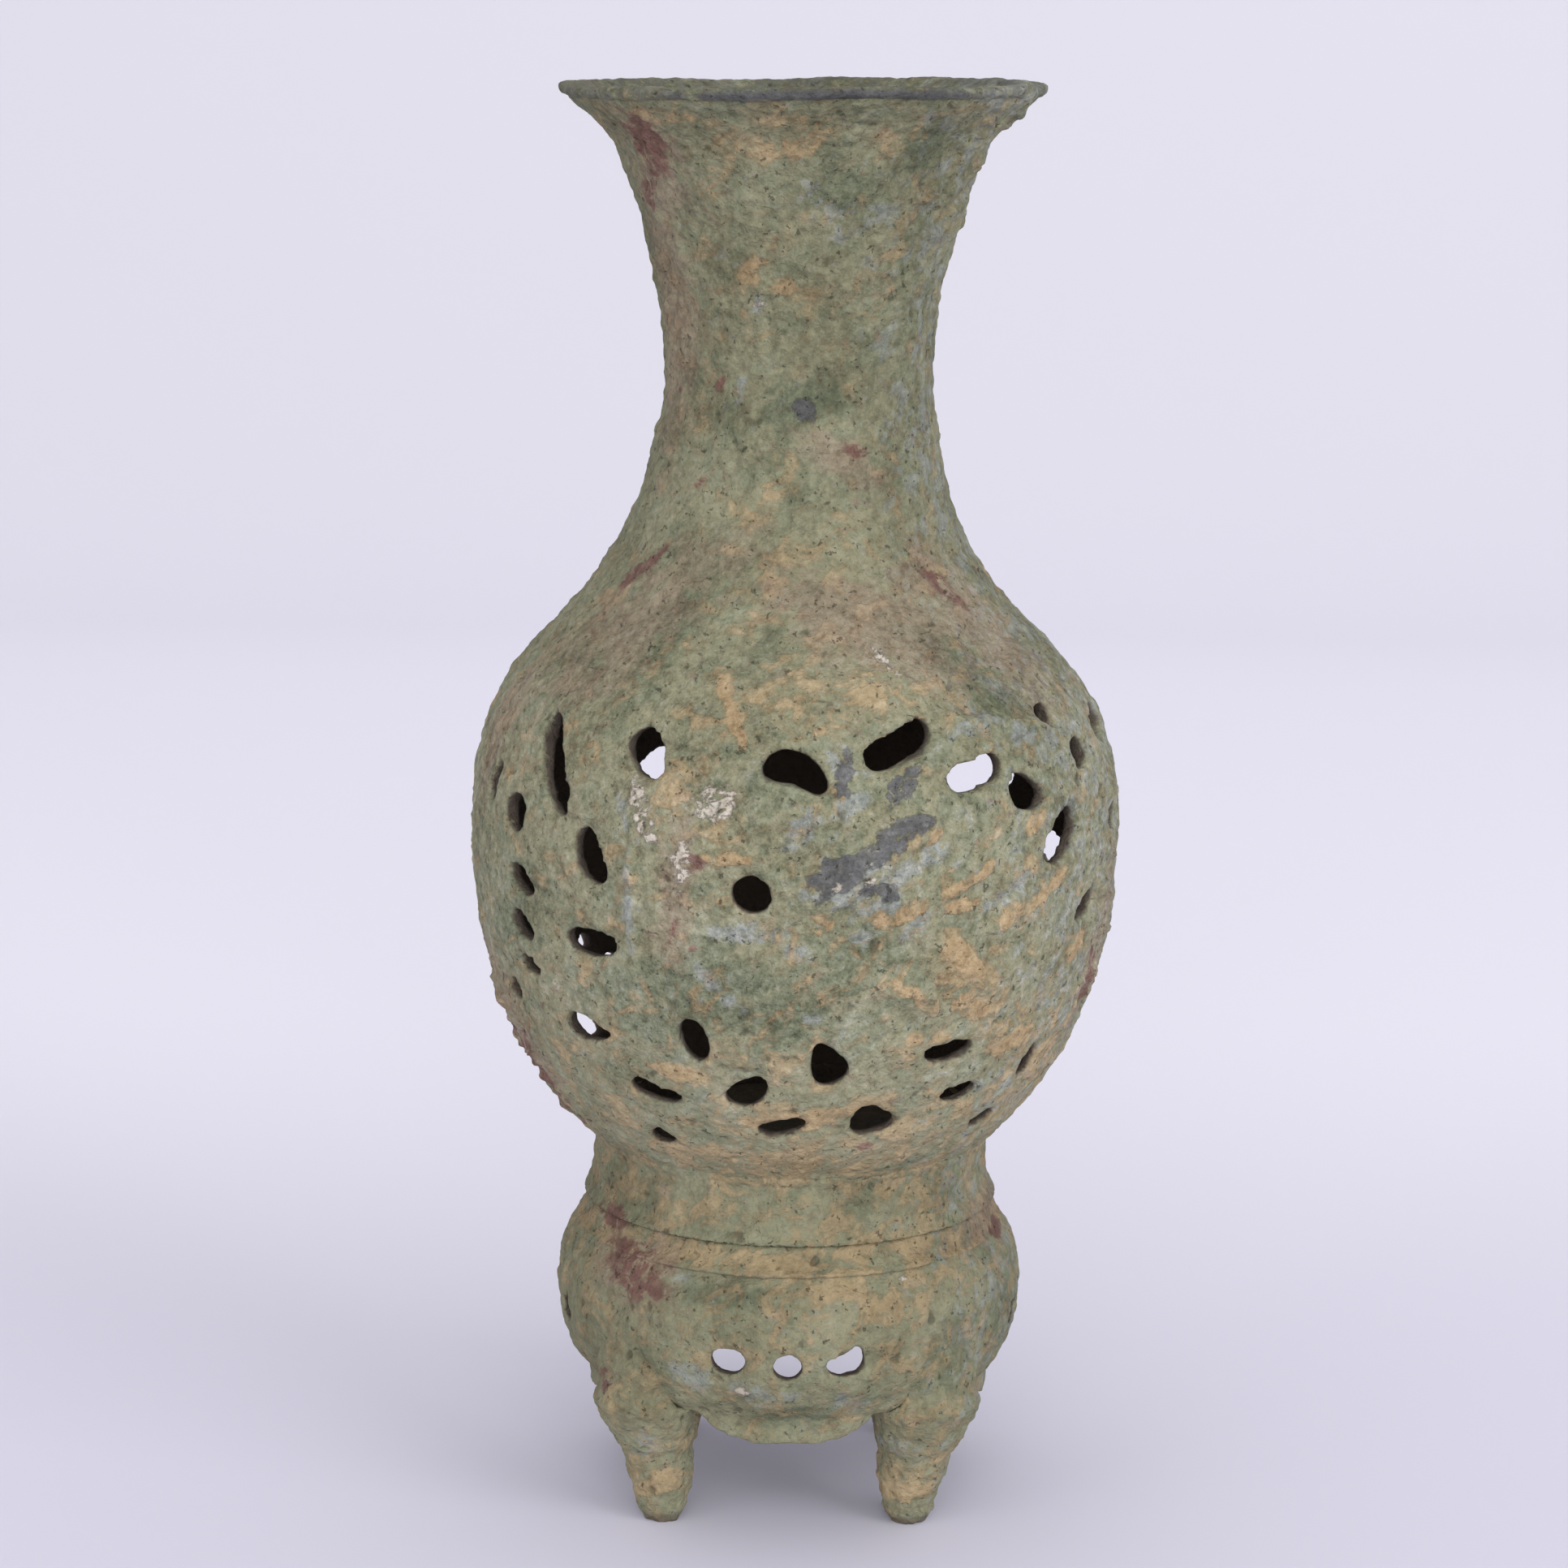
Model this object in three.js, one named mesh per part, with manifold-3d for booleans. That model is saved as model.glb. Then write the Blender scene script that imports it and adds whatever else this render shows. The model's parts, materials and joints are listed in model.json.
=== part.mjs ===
// Pierced bronze vase standing loose in its four-legged stand.
// Millimetres, +Z up. The origin is on the floor, under the middle of the vase.
// Bearings are in degrees round the axis: 0 faces the front (-Y), 90 the right (+X).
import * as THREE from 'three';
import { mergeVertices } from 'three/addons/utils/BufferGeometryUtils.js';
import Module from 'manifold-3d';

const wasm = await Module();
wasm.setup();

// Metal thickness and fits
const WALL = 3.0; // cast wall of neck, belly, foot and drum, measured level
const FIT = 0.3; // play between pieces that fit into each other
const COLLAR_PLAY = 0.4; // play of the loose foot inside the stand's collar

// Heights of the sections, from the floor up
const LEG_SEAT = 26; // floor to the seats that carry the drum
const DRUM_RISE = 29.4; // leg seats to the top of the drum
const COLLAR_RISE = 5.6; // part of the collar that shows above the drum
const FOOT_RISE = 12.5; // part of the foot that shows above the collar
const BELLY_LOW = 63; // foot to the widest part of the belly
const BELLY_HIGH = 77.5; // widest part of the belly to the neck joint
const NECK_LOW = 13; // neck joint to the waist of the neck
const NECK_HIGH = 51.4; // waist of the neck to the underside of the lip
const LIP_RISE = 2.6; // thickness of the lip

// Outer radii of the vase
const MOUTH_RADIUS = 47;
const LIP_OVERHANG = 3.2; // the lip stands out past the end of the neck
const LIP_WIDTH = 7.4; // outer to inner edge of the lip's underside
const LIP_TOP_WIDTH = 3.6; // flat on top of the lip
const LIP_ROUNDING = 0.25; // share of the lip's thickness that its rounded edges take
const NECK_WAIST_RADIUS = 25.9;
const NECK_JOINT_RADIUS = 27.3;
const BELLY_RADIUS = 64.2;
const BELLY_OVERHANG = 0.2; // the belly's lower edge stands out past the foot
const FOOT_RADIUS = 39.2; // straight part that drops into the collar
const FOOT_BULGE = 0.4; // swelling of the foot above the collar

// Joints inside the vase
const TONGUE_RISE = 0.7; // tongue on the neck that centres the lip
const TONGUE_WIDTH = 1.2;
const TONGUE_INSET = 1; // neck's outer edge to the tongue
const SOCKET_WALL = 1.4; // belly wall left outside the neck's socket
const SPIGOT_DEPTH = 6; // neck spigot inside the belly
const FOOT_SPIGOT_RISE = 4; // foot spigot inside the belly
const FOOT_SPIGOT_WALL = 2.4;
const FOOT_DEPTH = 8.5; // foot inside the stand's collar
const BASE_THICKNESS = 2.4; // disc that closes the vase
const BASE_DROP = 2; // underside of the disc below the top of the foot
const BASE_LEDGE_WIDTH = 2.2;
const BASE_LEDGE_DEPTH = 2;

// Stand
const SLEEVE_WALL = 1.4; // collar wall inside the drum
const COLLAR_BAND = 1; // the foot of the collar's sloping band stands out past its sleeve
const COLLAR_EDGE = 0.8; // width of the collar's upper edge
const COLLAR_BEAD_RISE = 1.1; // raised line under the band
const COLLAR_BEAD_OVERHANG = 0.2; // the raised line stands out past the drum's mouth
const COLLAR_EASE = 0.4; // bevel on the upper edge of the raised line
const SEAT_THICKNESS = 2.4; // ring that carries the foot
const SEAT_WIDTH = 11;
const DRUM_LEDGE_WIDTH = 3.2; // ledge that carries the seat ring
const DRUM_LEDGE_DEPTH = 1.6;
const DRUM_LEDGE_SLOPE = 3; // height of the ledge's sloping underside
const DRUM_RIM_WALL = 1.4; // drum wall outside the seat ring
const DRUM_SWELL = 4; // mouth of the drum to its widest part
const DRUM_WIDEST = 16; // leg seats to the widest part of the drum
const DRUM_TUCK = 6.4; // widest part of the drum to its lower edge
const APRON_DROP = 5.2; // aprons between the legs hang this far below the leg seats
const APRON_FLAT = 6.5; // half width of the apron's lowest stretch
const APRON_SHOULDER = 1.6; // the apron's corners lie this far from its ends at the legs
const APRON_CORNER_RISE = 3.4; // the corners lie this far above the lowest stretch
const APRON_MID_RISE = 1.1; // rise of the edge halfway from the lowest stretch to the corners

// Legs
const LEG_SPREAD = 45; // bearing of the front legs to either side of the front
const KNEE_INSET = 2; // axis of the knee inside the drum's lower edge
const LEG_LEAN = 3.5; // knee axis outside the ankle axis
const PAD_RADIUS = 4.6; // flat under the leg
const ANKLE_RADIUS = 7.1;
const ANKLE_RISE = 7; // floor to the ankle's full width
const STEP_RISE = 15.6; // floor to the step under the knee
const STEP_WIDTH = 1;
const STEP_BEVEL = 0.6; // height of the step's slope
const KNEE_RADIUS = 11.2;
const KNEE_TOP_RADIUS = 7;
const KNEE_RISE = 7.5; // the knee reaches this far above the leg seats
const PAD_EDGE_RISE = 2.3; // height of the rounded edge round the pad
const PAD_EDGE_WIDTH = 2; // the rounded edge stands out past the pad
const CHEEK = 3; // part of the leg that grips the drum from inside

// Fineness of the curves
const FLATS = 40; // flats round the turned pieces
const LEG_FLATS = 16;
const OUTLINE_POINTS = 12; // points round one piercing
const NECK_STEPS = { outer: 8, inner: 6 };
const SKIRT_STEPS = { outer: 3, inner: 2 };
const BELLY_HIGH_STEPS = { outer: 9, inner: 6 };
const BELLY_LOW_STEPS = { outer: 7, inner: 5 };
const FOOT_STEPS = 4;
const DRUM_HIGH_STEPS = 4;
const DRUM_LOW_STEPS = 5;
const MERGE_GAP = 1e-4;

// Levels and radii that follow from the sizes above
const DRUM_TOP = LEG_SEAT + DRUM_RISE;
const COLLAR_TOP = DRUM_TOP + COLLAR_RISE;
const FOOT_TOP = COLLAR_TOP + FOOT_RISE;
const BELLY_LEVEL = FOOT_TOP + BELLY_LOW;
const BELLY_TOP = BELLY_LEVEL + BELLY_HIGH;
const NECK_WAIST = BELLY_TOP + NECK_LOW;
const NECK_TOP = NECK_WAIST + NECK_HIGH;
const RIM_TOP = NECK_TOP + LIP_RISE;
const SEAT_TOP = COLLAR_TOP - FOOT_DEPTH;
const SEAT_BOTTOM = SEAT_TOP - SEAT_THICKNESS;
const BASE_BOTTOM = FOOT_TOP - BASE_DROP;
const SOCKET_BOTTOM = BELLY_TOP - SPIGOT_DEPTH - FIT;
const APRON_BOTTOM = LEG_SEAT - APRON_DROP;
const DRUM_LEVEL = LEG_SEAT + DRUM_WIDEST;

const NECK_TOP_RADIUS = MOUTH_RADIUS - LIP_OVERHANG;
const LIP_BORE = MOUTH_RADIUS - LIP_WIDTH;
const NECK_BORE = NECK_JOINT_RADIUS - WALL;
const SOCKET_RADIUS = NECK_JOINT_RADIUS - SOCKET_WALL;
const FOOT_TOP_RADIUS = FOOT_RADIUS - FIT;
const BELLY_FOOT_RADIUS = FOOT_TOP_RADIUS + BELLY_OVERHANG;
const FOOT_SPIGOT_RADIUS = BELLY_FOOT_RADIUS - WALL - FIT;
const BASE_BORE = FOOT_SPIGOT_RADIUS - FOOT_SPIGOT_WALL;
const COLLAR_BORE = FOOT_RADIUS + COLLAR_PLAY;
const SLEEVE_RADIUS = COLLAR_BORE + SLEEVE_WALL;
const DRUM_BORE = SLEEVE_RADIUS + FIT;
const DRUM_TOP_RADIUS = DRUM_BORE + DRUM_RIM_WALL;
const DRUM_RADIUS = DRUM_TOP_RADIUS + DRUM_SWELL;
const DRUM_FOOT_RADIUS = DRUM_RADIUS - DRUM_TUCK;
const KNEE_CIRCLE = DRUM_FOOT_RADIUS - KNEE_INSET;

const LEG_BEARINGS = {
  front_right: LEG_SPREAD,
  rear_right: 180 - LEG_SPREAD,
  rear_left: 180 + LEG_SPREAD,
  front_left: 360 - LEG_SPREAD,
};
// Bearing of each apron's middle, with the bearing from there to the legs beside it
const APRONS = [
  [0, LEG_SPREAD],
  [90, 90 - LEG_SPREAD],
  [180, LEG_SPREAD],
  [270, 90 - LEG_SPREAD],
];

// Piercings of the belly: bearing, level, length, width, tilt and form.
// The level is in percent, from the foot (-100) through the widest part (0) to the neck (100).
// The tilt is in degrees, counter-clockwise seen from outside.
const FRONT_PIERCINGS = [
  [-47.6, 24, 20.6, 5.8, -64, 'slot'],
  [-27.3, 29.5, 9.8, 7, -54, 'egg'],
  [0.4, 27, 12.6, 5.8, -20, 'comma'],
  [19.4, 32.8, 15, 5.2, 23, 'lobed'],
  [33.8, 25.6, 13, 4.8, 12, 'lobed'],
  [44.4, 19.3, 9.2, 6.4, -20, 'egg'],
  [56.6, 35, 5.2, 4.2, -78, 'drop'],
  [63, 25.5, 6.4, 5.8, 90, 'oval'],
  [-66, 16, 9.6, 4, 67, 'leaf'],
  [-57, 10.5, 7.6, 7, 81, 'oval'],
  [-36.6, 4.2, 11.4, 6, -64, 'slot'],
  [-7, -1.5, 7.8, 7, -30, 'oval'],
  [52.5, 7.5, 13, 6.2, 42, 'slot'],
  [-54.6, -7, 8.6, 4.8, -26, 'oval'],
  [62.5, -14, 10.4, 3.6, 40, 'leaf'],
  [-55.4, -21.5, 9.6, 4.6, -21, 'oval'],
  [-37, -21, 12.5, 4.8, 0, 'slot'],
  [-53.8, -33.4, 7.6, 3.7, -12, 'oval'],
  [-63, -44.5, 6.2, 3.7, 0, 'oval'],
  [-40.4, -49.6, 11.6, 4.8, -7, 'drop'],
  [-18, -48, 9, 5.4, -75, 'oval'],
  [6.6, -54.2, 9.4, 6.2, 118, 'drop'],
  [30.8, -52.6, 12.2, 3.8, 6, 'leaf'],
  [-28.2, -67.4, 12.6, 3.3, -13, 'leaf'],
  [-8.5, -64, 9.6, 5.6, 32, 'leaf'],
  [36.2, -68, 9.2, 3.2, 8, 'leaf'],
  [54.2, -62.4, 6.8, 4.4, 60, 'oval'],
  [17.8, -75, 9.2, 6, -10, 'drop'],
  [-1.6, -76.4, 11, 3.3, 12, 'leaf'],
  [48, -80, 8, 2.8, 18, 'leaf'],
  [-31.4, -85, 6.3, 3, 180, 'bean'],
];
const REAR_PIERCINGS = [
  [80, 30, 12, 5, 20, 'bean'],
  [97, 25, 9, 6, -50, 'drop'],
  [113, 33, 13, 5.4, 15, 'bean'],
  [132, 32, 10, 5.4, -30, 'oval'],
  [149, 26, 12, 5, 10, 'bean'],
  [166, 33, 9, 6, 60, 'drop'],
  [183, 26, 13, 5.2, -12, 'bean'],
  [201, 34, 10, 5, 35, 'leaf'],
  [218, 26, 8, 6, 0, 'oval'],
  [236, 30, 16, 4.4, 78, 'slot'],
  [253, 28, 10, 5, -25, 'bean'],
  [270, 23, 12, 4.6, 70, 'slot'],
  [77, 8, 9, 5, 50, 'oval'],
  [95, 2, 8, 5, -75, 'oval'],
  [141, 1.5, 20, 10, -26, 'lobed'],
  [208.4, -0.6, 11, 8.2, -45, 'oval'],
  [275, 2, 8, 5, -60, 'drop'],
  [84, -14, 8, 4, -35, 'leaf'],
  [119.6, -18, 13.4, 7.4, 0, 'oval'],
  [160, -20, 11, 5, -40, 'slot'],
  [186, -22, 9, 5, 70, 'oval'],
  [262, -10, 9, 4.5, 60, 'oval'],
  [93, -28, 9, 4.4, 25, 'leaf'],
  [173, -36, 9, 5, 30, 'leaf'],
  [276, -24, 9, 4, -30, 'leaf'],
  [264, -36, 7, 4, 15, 'oval'],
  [76, -50, 9, 4, 10, 'leaf'],
  [96, -50, 9, 4.6, 60, 'drop'],
  [117, -48, 9, 4.6, -70, 'oval'],
  [141, -54, 11, 3.8, -10, 'leaf'],
  [163, -58, 9, 6, 65, 'drop'],
  [208, -56, 8, 5, -70, 'oval'],
  [231, -53.4, 4.6, 3.4, 20, 'oval'],
  [224.8, -61.2, 4.8, 3.6, 0, 'oval'],
  [270, -58, 10, 4.6, 20, 'oval'],
  [86, -70, 10, 4.6, -35, 'oval'],
  [109, -66, 10, 4, 15, 'leaf'],
  [127, -72, 9, 4.6, -50, 'oval'],
  [150, -76, 9, 4, 20, 'leaf'],
  [178, -70, 10, 5, -25, 'oval'],
  [197, -72, 9, 4, 30, 'leaf'],
  [217, -80, 8, 3.6, -15, 'leaf'],
  [240.6, -77.4, 10.6, 5, 10, 'oval'],
  [255, -70, 9, 4, -30, 'leaf'],
  [283, -76, 8, 3.6, 10, 'leaf'],
];

// Holes in each apron of the stand: bearing from the apron's middle, rise, length, width, tilt and form
const APRON_HOLE_LEVEL = 12.6; // leg seats to the level that the holes' rises are counted from
const APRON_HOLES = [
  [-14.5, 0.8, 7, 5, 0, 'slot'],
  [0, 0, 5.8, 5.2, 0, 'oval'],
  [14.2, 0.7, 7.8, 4.2, 18, 'kidney'],
];

// taper draws one end to a point, pinch draws both, bulk squares the ends, bend curls the outline
const FORMS = {
  oval: { taper: 0, pinch: 0, bulk: 0, bend: 0 },
  slot: { taper: 0, pinch: 0, bulk: 0.35, bend: 0.12 },
  drop: { taper: 0.55, pinch: 0, bulk: 0.15, bend: 0 },
  leaf: { taper: 0.15, pinch: 0.45, bulk: 0.3, bend: 0.15 },
  bean: { taper: 0.15, pinch: 0, bulk: 0.3, bend: 0.4 },
  kidney: { taper: -0.3, pinch: 0, bulk: 0.9, bend: 0.35 },
  lobed: { taper: 0, pinch: 0, bulk: 0.9, bend: 0.12 },
  comma: { taper: 0.2, pinch: 0, bulk: 0.5, bend: -0.35 },
  egg: { taper: 0.2, pinch: 0, bulk: 0.2, bend: 0 },
};

// Shares that set how full the curves are
const BELLY_LOW_CURVE = { fullness: 0.72, endOut: 0.05, endUp: 0.04 };
const BELLY_HIGH_CURVE = { fullness: 0.56, endOut: 0.19, endUp: 0.57 };
const NECK_CURVE = { fullness: 0.29, endOut: 0.54, endUp: 0.065 };
const SKIRT_CURVE = { fullness: 0.4, endOut: 0.6, endUp: 0.3 };
const DRUM_HIGH_CURVE = { fullness: 0.6, endOut: 0.45, endUp: 0.12 };
const DRUM_LOW_CURVE = { fullness: 0.6, endOut: 0.3, endUp: 0.12 };

const degrees = THREE.MathUtils.degToRad;

// Points of a curve that leaves one [radius, level] point upright and runs to another.
function profile([fromRadius, fromLevel], [toRadius, toLevel], curve, steps) {
  const across = toRadius - fromRadius;
  const along = toLevel - fromLevel;
  const bezier = new THREE.CubicBezierCurve(
    new THREE.Vector2(fromRadius, fromLevel),
    new THREE.Vector2(fromRadius, fromLevel + curve.fullness * along),
    new THREE.Vector2(toRadius - curve.endOut * across, toLevel - curve.endUp * along),
    new THREE.Vector2(toRadius, toLevel),
  );
  return bezier.getPoints(steps).map((point) => [point.x, point.y]);
}

// Turn an outline of [radius, level] points about the Z axis; it runs up outside and down inside.
function turned(outline, flats = FLATS, closed = true) {
  const points = outline.map(([radius, level]) => new THREE.Vector2(radius, level));
  if (closed) {
    points.push(points[0].clone());
  }
  return new THREE.LatheGeometry(points, flats).rotateX(Math.PI / 2);
}

function solidOf(geometry) {
  const bare = geometry.clone();
  bare.deleteAttribute('normal');
  bare.deleteAttribute('uv');
  const merged = mergeVertices(bare, MERGE_GAP);
  return new wasm.Manifold(new wasm.Mesh({
    numProp: 3,
    vertProperties: new Float32Array(merged.getAttribute('position').array),
    triVerts: new Uint32Array(merged.getIndex().array),
  }));
}

function geometryOf(solid) {
  const mesh = solid.getMesh();
  const geometry = new THREE.BufferGeometry();
  geometry.setAttribute('position', new THREE.BufferAttribute(mesh.vertProperties, 3));
  geometry.setIndex(new THREE.BufferAttribute(mesh.triVerts, 1));
  geometry.computeVertexNormals();
  return geometry;
}

// Cut each geometry in the list out of a geometry.
function cutOut(geometry, cutters) {
  let solid = solidOf(geometry);
  for (const cutter of cutters) {
    solid = solid.subtract(solidOf(cutter));
  }
  return geometryOf(solid);
}

// Outline of one piercing, lying along X.
function piercingShape(length, width, form) {
  const { taper, pinch, bulk, bend } = FORMS[form];
  const points = [];
  for (let i = 0; i < OUTLINE_POINTS; i += 1) {
    const turn = (2 * Math.PI * i) / OUTLINE_POINTS;
    const along = Math.cos(turn);
    const swell = 1 + bulk * along * along - pinch * along * along;
    const across = Math.sin(turn) * (1 - taper * along) * swell;
    const curl = bend * (2 * along * along - 1);
    points.push(new THREE.Vector2((length / 2) * along, (width / 2) * (across + curl)));
  }
  return new THREE.Shape(points);
}

// Prism that cuts an outline through a wall, straight out from the axis.
function radialCutter(shape, bearing, level, tilt, innerRadius, outerRadius) {
  const depth = outerRadius - innerRadius;
  const geometry = new THREE.ExtrudeGeometry(shape, { depth, bevelEnabled: false });
  geometry.rotateZ(degrees(tilt));
  geometry.rotateX(Math.PI / 2);
  geometry.translate(0, -innerRadius, level);
  geometry.rotateZ(degrees(bearing));
  return geometry;
}

function lipRing() {
  const grooveOuter = NECK_TOP_RADIUS - TONGUE_INSET + FIT;
  const grooveInner = NECK_TOP_RADIUS - TONGUE_INSET - TONGUE_WIDTH - FIT;
  const grooveTop = NECK_TOP + TONGUE_RISE + FIT;
  const edge = LIP_RISE * LIP_ROUNDING;
  return turned([
    [grooveOuter, NECK_TOP],
    [NECK_TOP_RADIUS, NECK_TOP],
    [MOUTH_RADIUS - edge, NECK_TOP + edge],
    [MOUTH_RADIUS, RIM_TOP - edge],
    [MOUTH_RADIUS - edge, RIM_TOP],
    [MOUTH_RADIUS - LIP_TOP_WIDTH, RIM_TOP],
    [LIP_BORE, NECK_TOP],
    [grooveInner, NECK_TOP],
    [grooveInner, grooveTop],
    [grooveOuter, grooveTop],
  ]);
}

function neck() {
  const spigotRadius = SOCKET_RADIUS - FIT;
  const spigotBottom = BELLY_TOP - SPIGOT_DEPTH;
  const tongueOuter = NECK_TOP_RADIUS - TONGUE_INSET;
  const tongueInner = tongueOuter - TONGUE_WIDTH;
  const tongueTop = NECK_TOP + TONGUE_RISE;
  const waist = [NECK_WAIST_RADIUS, NECK_WAIST];
  const waistBore = [NECK_WAIST_RADIUS - WALL, NECK_WAIST];
  const lowerOuter = profile(waist, [NECK_JOINT_RADIUS, BELLY_TOP], SKIRT_CURVE, SKIRT_STEPS.outer);
  const upperOuter = profile(waist, [NECK_TOP_RADIUS, NECK_TOP], NECK_CURVE, NECK_STEPS.outer);
  const upperInner = profile(waistBore, [LIP_BORE, NECK_TOP], NECK_CURVE, NECK_STEPS.inner);
  const lowerInner = profile(waistBore, [NECK_BORE, BELLY_TOP], SKIRT_CURVE, SKIRT_STEPS.inner);
  return turned([
    [spigotRadius, spigotBottom],
    [spigotRadius, BELLY_TOP],
    ...lowerOuter.reverse(),
    ...upperOuter.slice(1),
    [tongueOuter, NECK_TOP],
    [tongueOuter, tongueTop],
    [tongueInner, tongueTop],
    [tongueInner, NECK_TOP],
    ...upperInner.reverse(),
    ...lowerInner.slice(1),
    [NECK_BORE, spigotBottom],
  ]);
}

function piercingCutters() {
  const reach = BELLY_RADIUS + WALL;
  return [...FRONT_PIERCINGS, ...REAR_PIERCINGS].map(([bearing, percent, length, width, tilt, form]) => {
    const level = BELLY_LEVEL + (percent / 100) * (percent > 0 ? BELLY_HIGH : BELLY_LOW);
    return radialCutter(piercingShape(length, width, form), bearing, level, tilt, NECK_BORE, reach);
  });
}

function piercedBody() {
  const widest = [BELLY_RADIUS, BELLY_LEVEL];
  const widestBore = [BELLY_RADIUS - WALL, BELLY_LEVEL];
  const lowEnd = [BELLY_FOOT_RADIUS, FOOT_TOP];
  const lowBore = [BELLY_FOOT_RADIUS - WALL, FOOT_TOP];
  const highEnd = [NECK_JOINT_RADIUS, BELLY_TOP];
  const highBore = [NECK_BORE, SOCKET_BOTTOM];
  const lowOuter = profile(widest, lowEnd, BELLY_LOW_CURVE, BELLY_LOW_STEPS.outer);
  const highOuter = profile(widest, highEnd, BELLY_HIGH_CURVE, BELLY_HIGH_STEPS.outer);
  const highInner = profile(widestBore, highBore, BELLY_HIGH_CURVE, BELLY_HIGH_STEPS.inner);
  const lowInner = profile(widestBore, lowBore, BELLY_LOW_CURVE, BELLY_LOW_STEPS.inner);
  const shell = turned([
    ...lowOuter.reverse(),
    ...highOuter.slice(1),
    [SOCKET_RADIUS, BELLY_TOP],
    [SOCKET_RADIUS, SOCKET_BOTTOM],
    ...highInner.reverse(),
    ...lowInner.slice(1),
  ]);
  return cutOut(shell, piercingCutters());
}

function footRing() {
  const spigotTop = FOOT_TOP + FOOT_SPIGOT_RISE;
  const bulgeRadius = FOOT_RADIUS + FOOT_BULGE;
  const ledgeBore = BASE_BORE - BASE_LEDGE_WIDTH;
  const ledgeBottom = BASE_BOTTOM - BASE_LEDGE_DEPTH;
  const footBore = FOOT_RADIUS - WALL;
  const ledgeSlope = footBore - ledgeBore;
  const swell = new THREE.SplineCurve([
    new THREE.Vector2(FOOT_RADIUS, COLLAR_TOP),
    new THREE.Vector2(bulgeRadius, COLLAR_TOP + FOOT_RISE / 2),
    new THREE.Vector2(FOOT_TOP_RADIUS, FOOT_TOP),
  ]);
  return turned([
    [FOOT_RADIUS, SEAT_TOP],
    ...swell.getPoints(FOOT_STEPS).map((point) => [point.x, point.y]),
    [FOOT_SPIGOT_RADIUS, FOOT_TOP],
    [FOOT_SPIGOT_RADIUS, spigotTop],
    [BASE_BORE, spigotTop],
    [BASE_BORE, BASE_BOTTOM],
    [ledgeBore, BASE_BOTTOM],
    [ledgeBore, ledgeBottom],
    [footBore, ledgeBottom - ledgeSlope],
    [footBore, SEAT_TOP],
  ]);
}

function basePlate() {
  const radius = BASE_BORE - FIT;
  const top = BASE_BOTTOM + BASE_THICKNESS;
  return turned([[0, BASE_BOTTOM], [radius, BASE_BOTTOM], [radius, top], [0, top]], FLATS, false);
}

function standCollar() {
  const bandRadius = SLEEVE_RADIUS + COLLAR_BAND;
  const beadRadius = DRUM_TOP_RADIUS + COLLAR_BEAD_OVERHANG;
  const beadTop = DRUM_TOP + COLLAR_BEAD_RISE;
  return turned([
    [SLEEVE_RADIUS, SEAT_TOP + FIT],
    [SLEEVE_RADIUS, DRUM_TOP],
    [beadRadius, DRUM_TOP],
    [beadRadius, beadTop - COLLAR_EASE],
    [bandRadius, beadTop],
    [COLLAR_BORE + COLLAR_EDGE, COLLAR_TOP],
    [COLLAR_BORE, COLLAR_TOP],
    [COLLAR_BORE, SEAT_TOP + FIT],
  ]);
}

function seatRing() {
  const bore = SLEEVE_RADIUS - SEAT_WIDTH;
  return turned([
    [SLEEVE_RADIUS, SEAT_BOTTOM],
    [SLEEVE_RADIUS, SEAT_TOP],
    [bore, SEAT_TOP],
    [bore, SEAT_BOTTOM],
  ]);
}

// Lower half of the drum's wall, from its widest part to the leg seats, drawn in by an inset.
function drumLowCurve(inset) {
  const widest = [DRUM_RADIUS - inset, DRUM_LEVEL];
  const lowEdge = [DRUM_FOOT_RADIUS - inset, LEG_SEAT];
  return profile(widest, lowEdge, DRUM_LOW_CURVE, DRUM_LOW_STEPS);
}

// Half width of an apron at the leg seats, where it ends just short of the knees beside it.
function apronHalfWidth(legBearing) {
  const bore = DRUM_FOOT_RADIUS - WALL;
  const cosine = (KNEE_CIRCLE ** 2 + bore ** 2 - KNEE_RADIUS ** 2) / (2 * KNEE_CIRCLE * bore);
  return bore * Math.sin(degrees(legBearing) - Math.acos(cosine)) - FIT;
}

// Prism that trims one apron's lower edge to its lobe.
function apronCutter(bearing, legBearing) {
  const end = apronHalfWidth(legBearing);
  const corner = end - APRON_SHOULDER;
  const side = DRUM_FOOT_RADIUS * Math.SQRT1_2 + WALL;
  const below = APRON_BOTTOM - APRON_DROP;
  const half = [
    [APRON_FLAT, APRON_BOTTOM],
    [(APRON_FLAT + corner) / 2, APRON_BOTTOM + APRON_MID_RISE],
    [corner, APRON_BOTTOM + APRON_CORNER_RISE],
    [end, LEG_SEAT],
    [side, LEG_SEAT],
    [side, below],
  ];
  const mirrored = half.map(([x, z]) => [-x, z]).reverse();
  const shape = new THREE.Shape([...half, ...mirrored].map(([x, z]) => new THREE.Vector2(x, z)));
  const reach = DRUM_RADIUS + WALL;
  return radialCutter(shape, bearing, 0, 0, 0, reach);
}

function apronHoleCutters(side) {
  const level = LEG_SEAT + APRON_HOLE_LEVEL;
  const reach = DRUM_RADIUS + WALL;
  return APRON_HOLES.map(([bearing, rise, length, width, tilt, form]) => {
    const shape = piercingShape(length, width, form);
    return radialCutter(shape, side + bearing, level + rise, tilt, 0, reach);
  });
}

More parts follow.
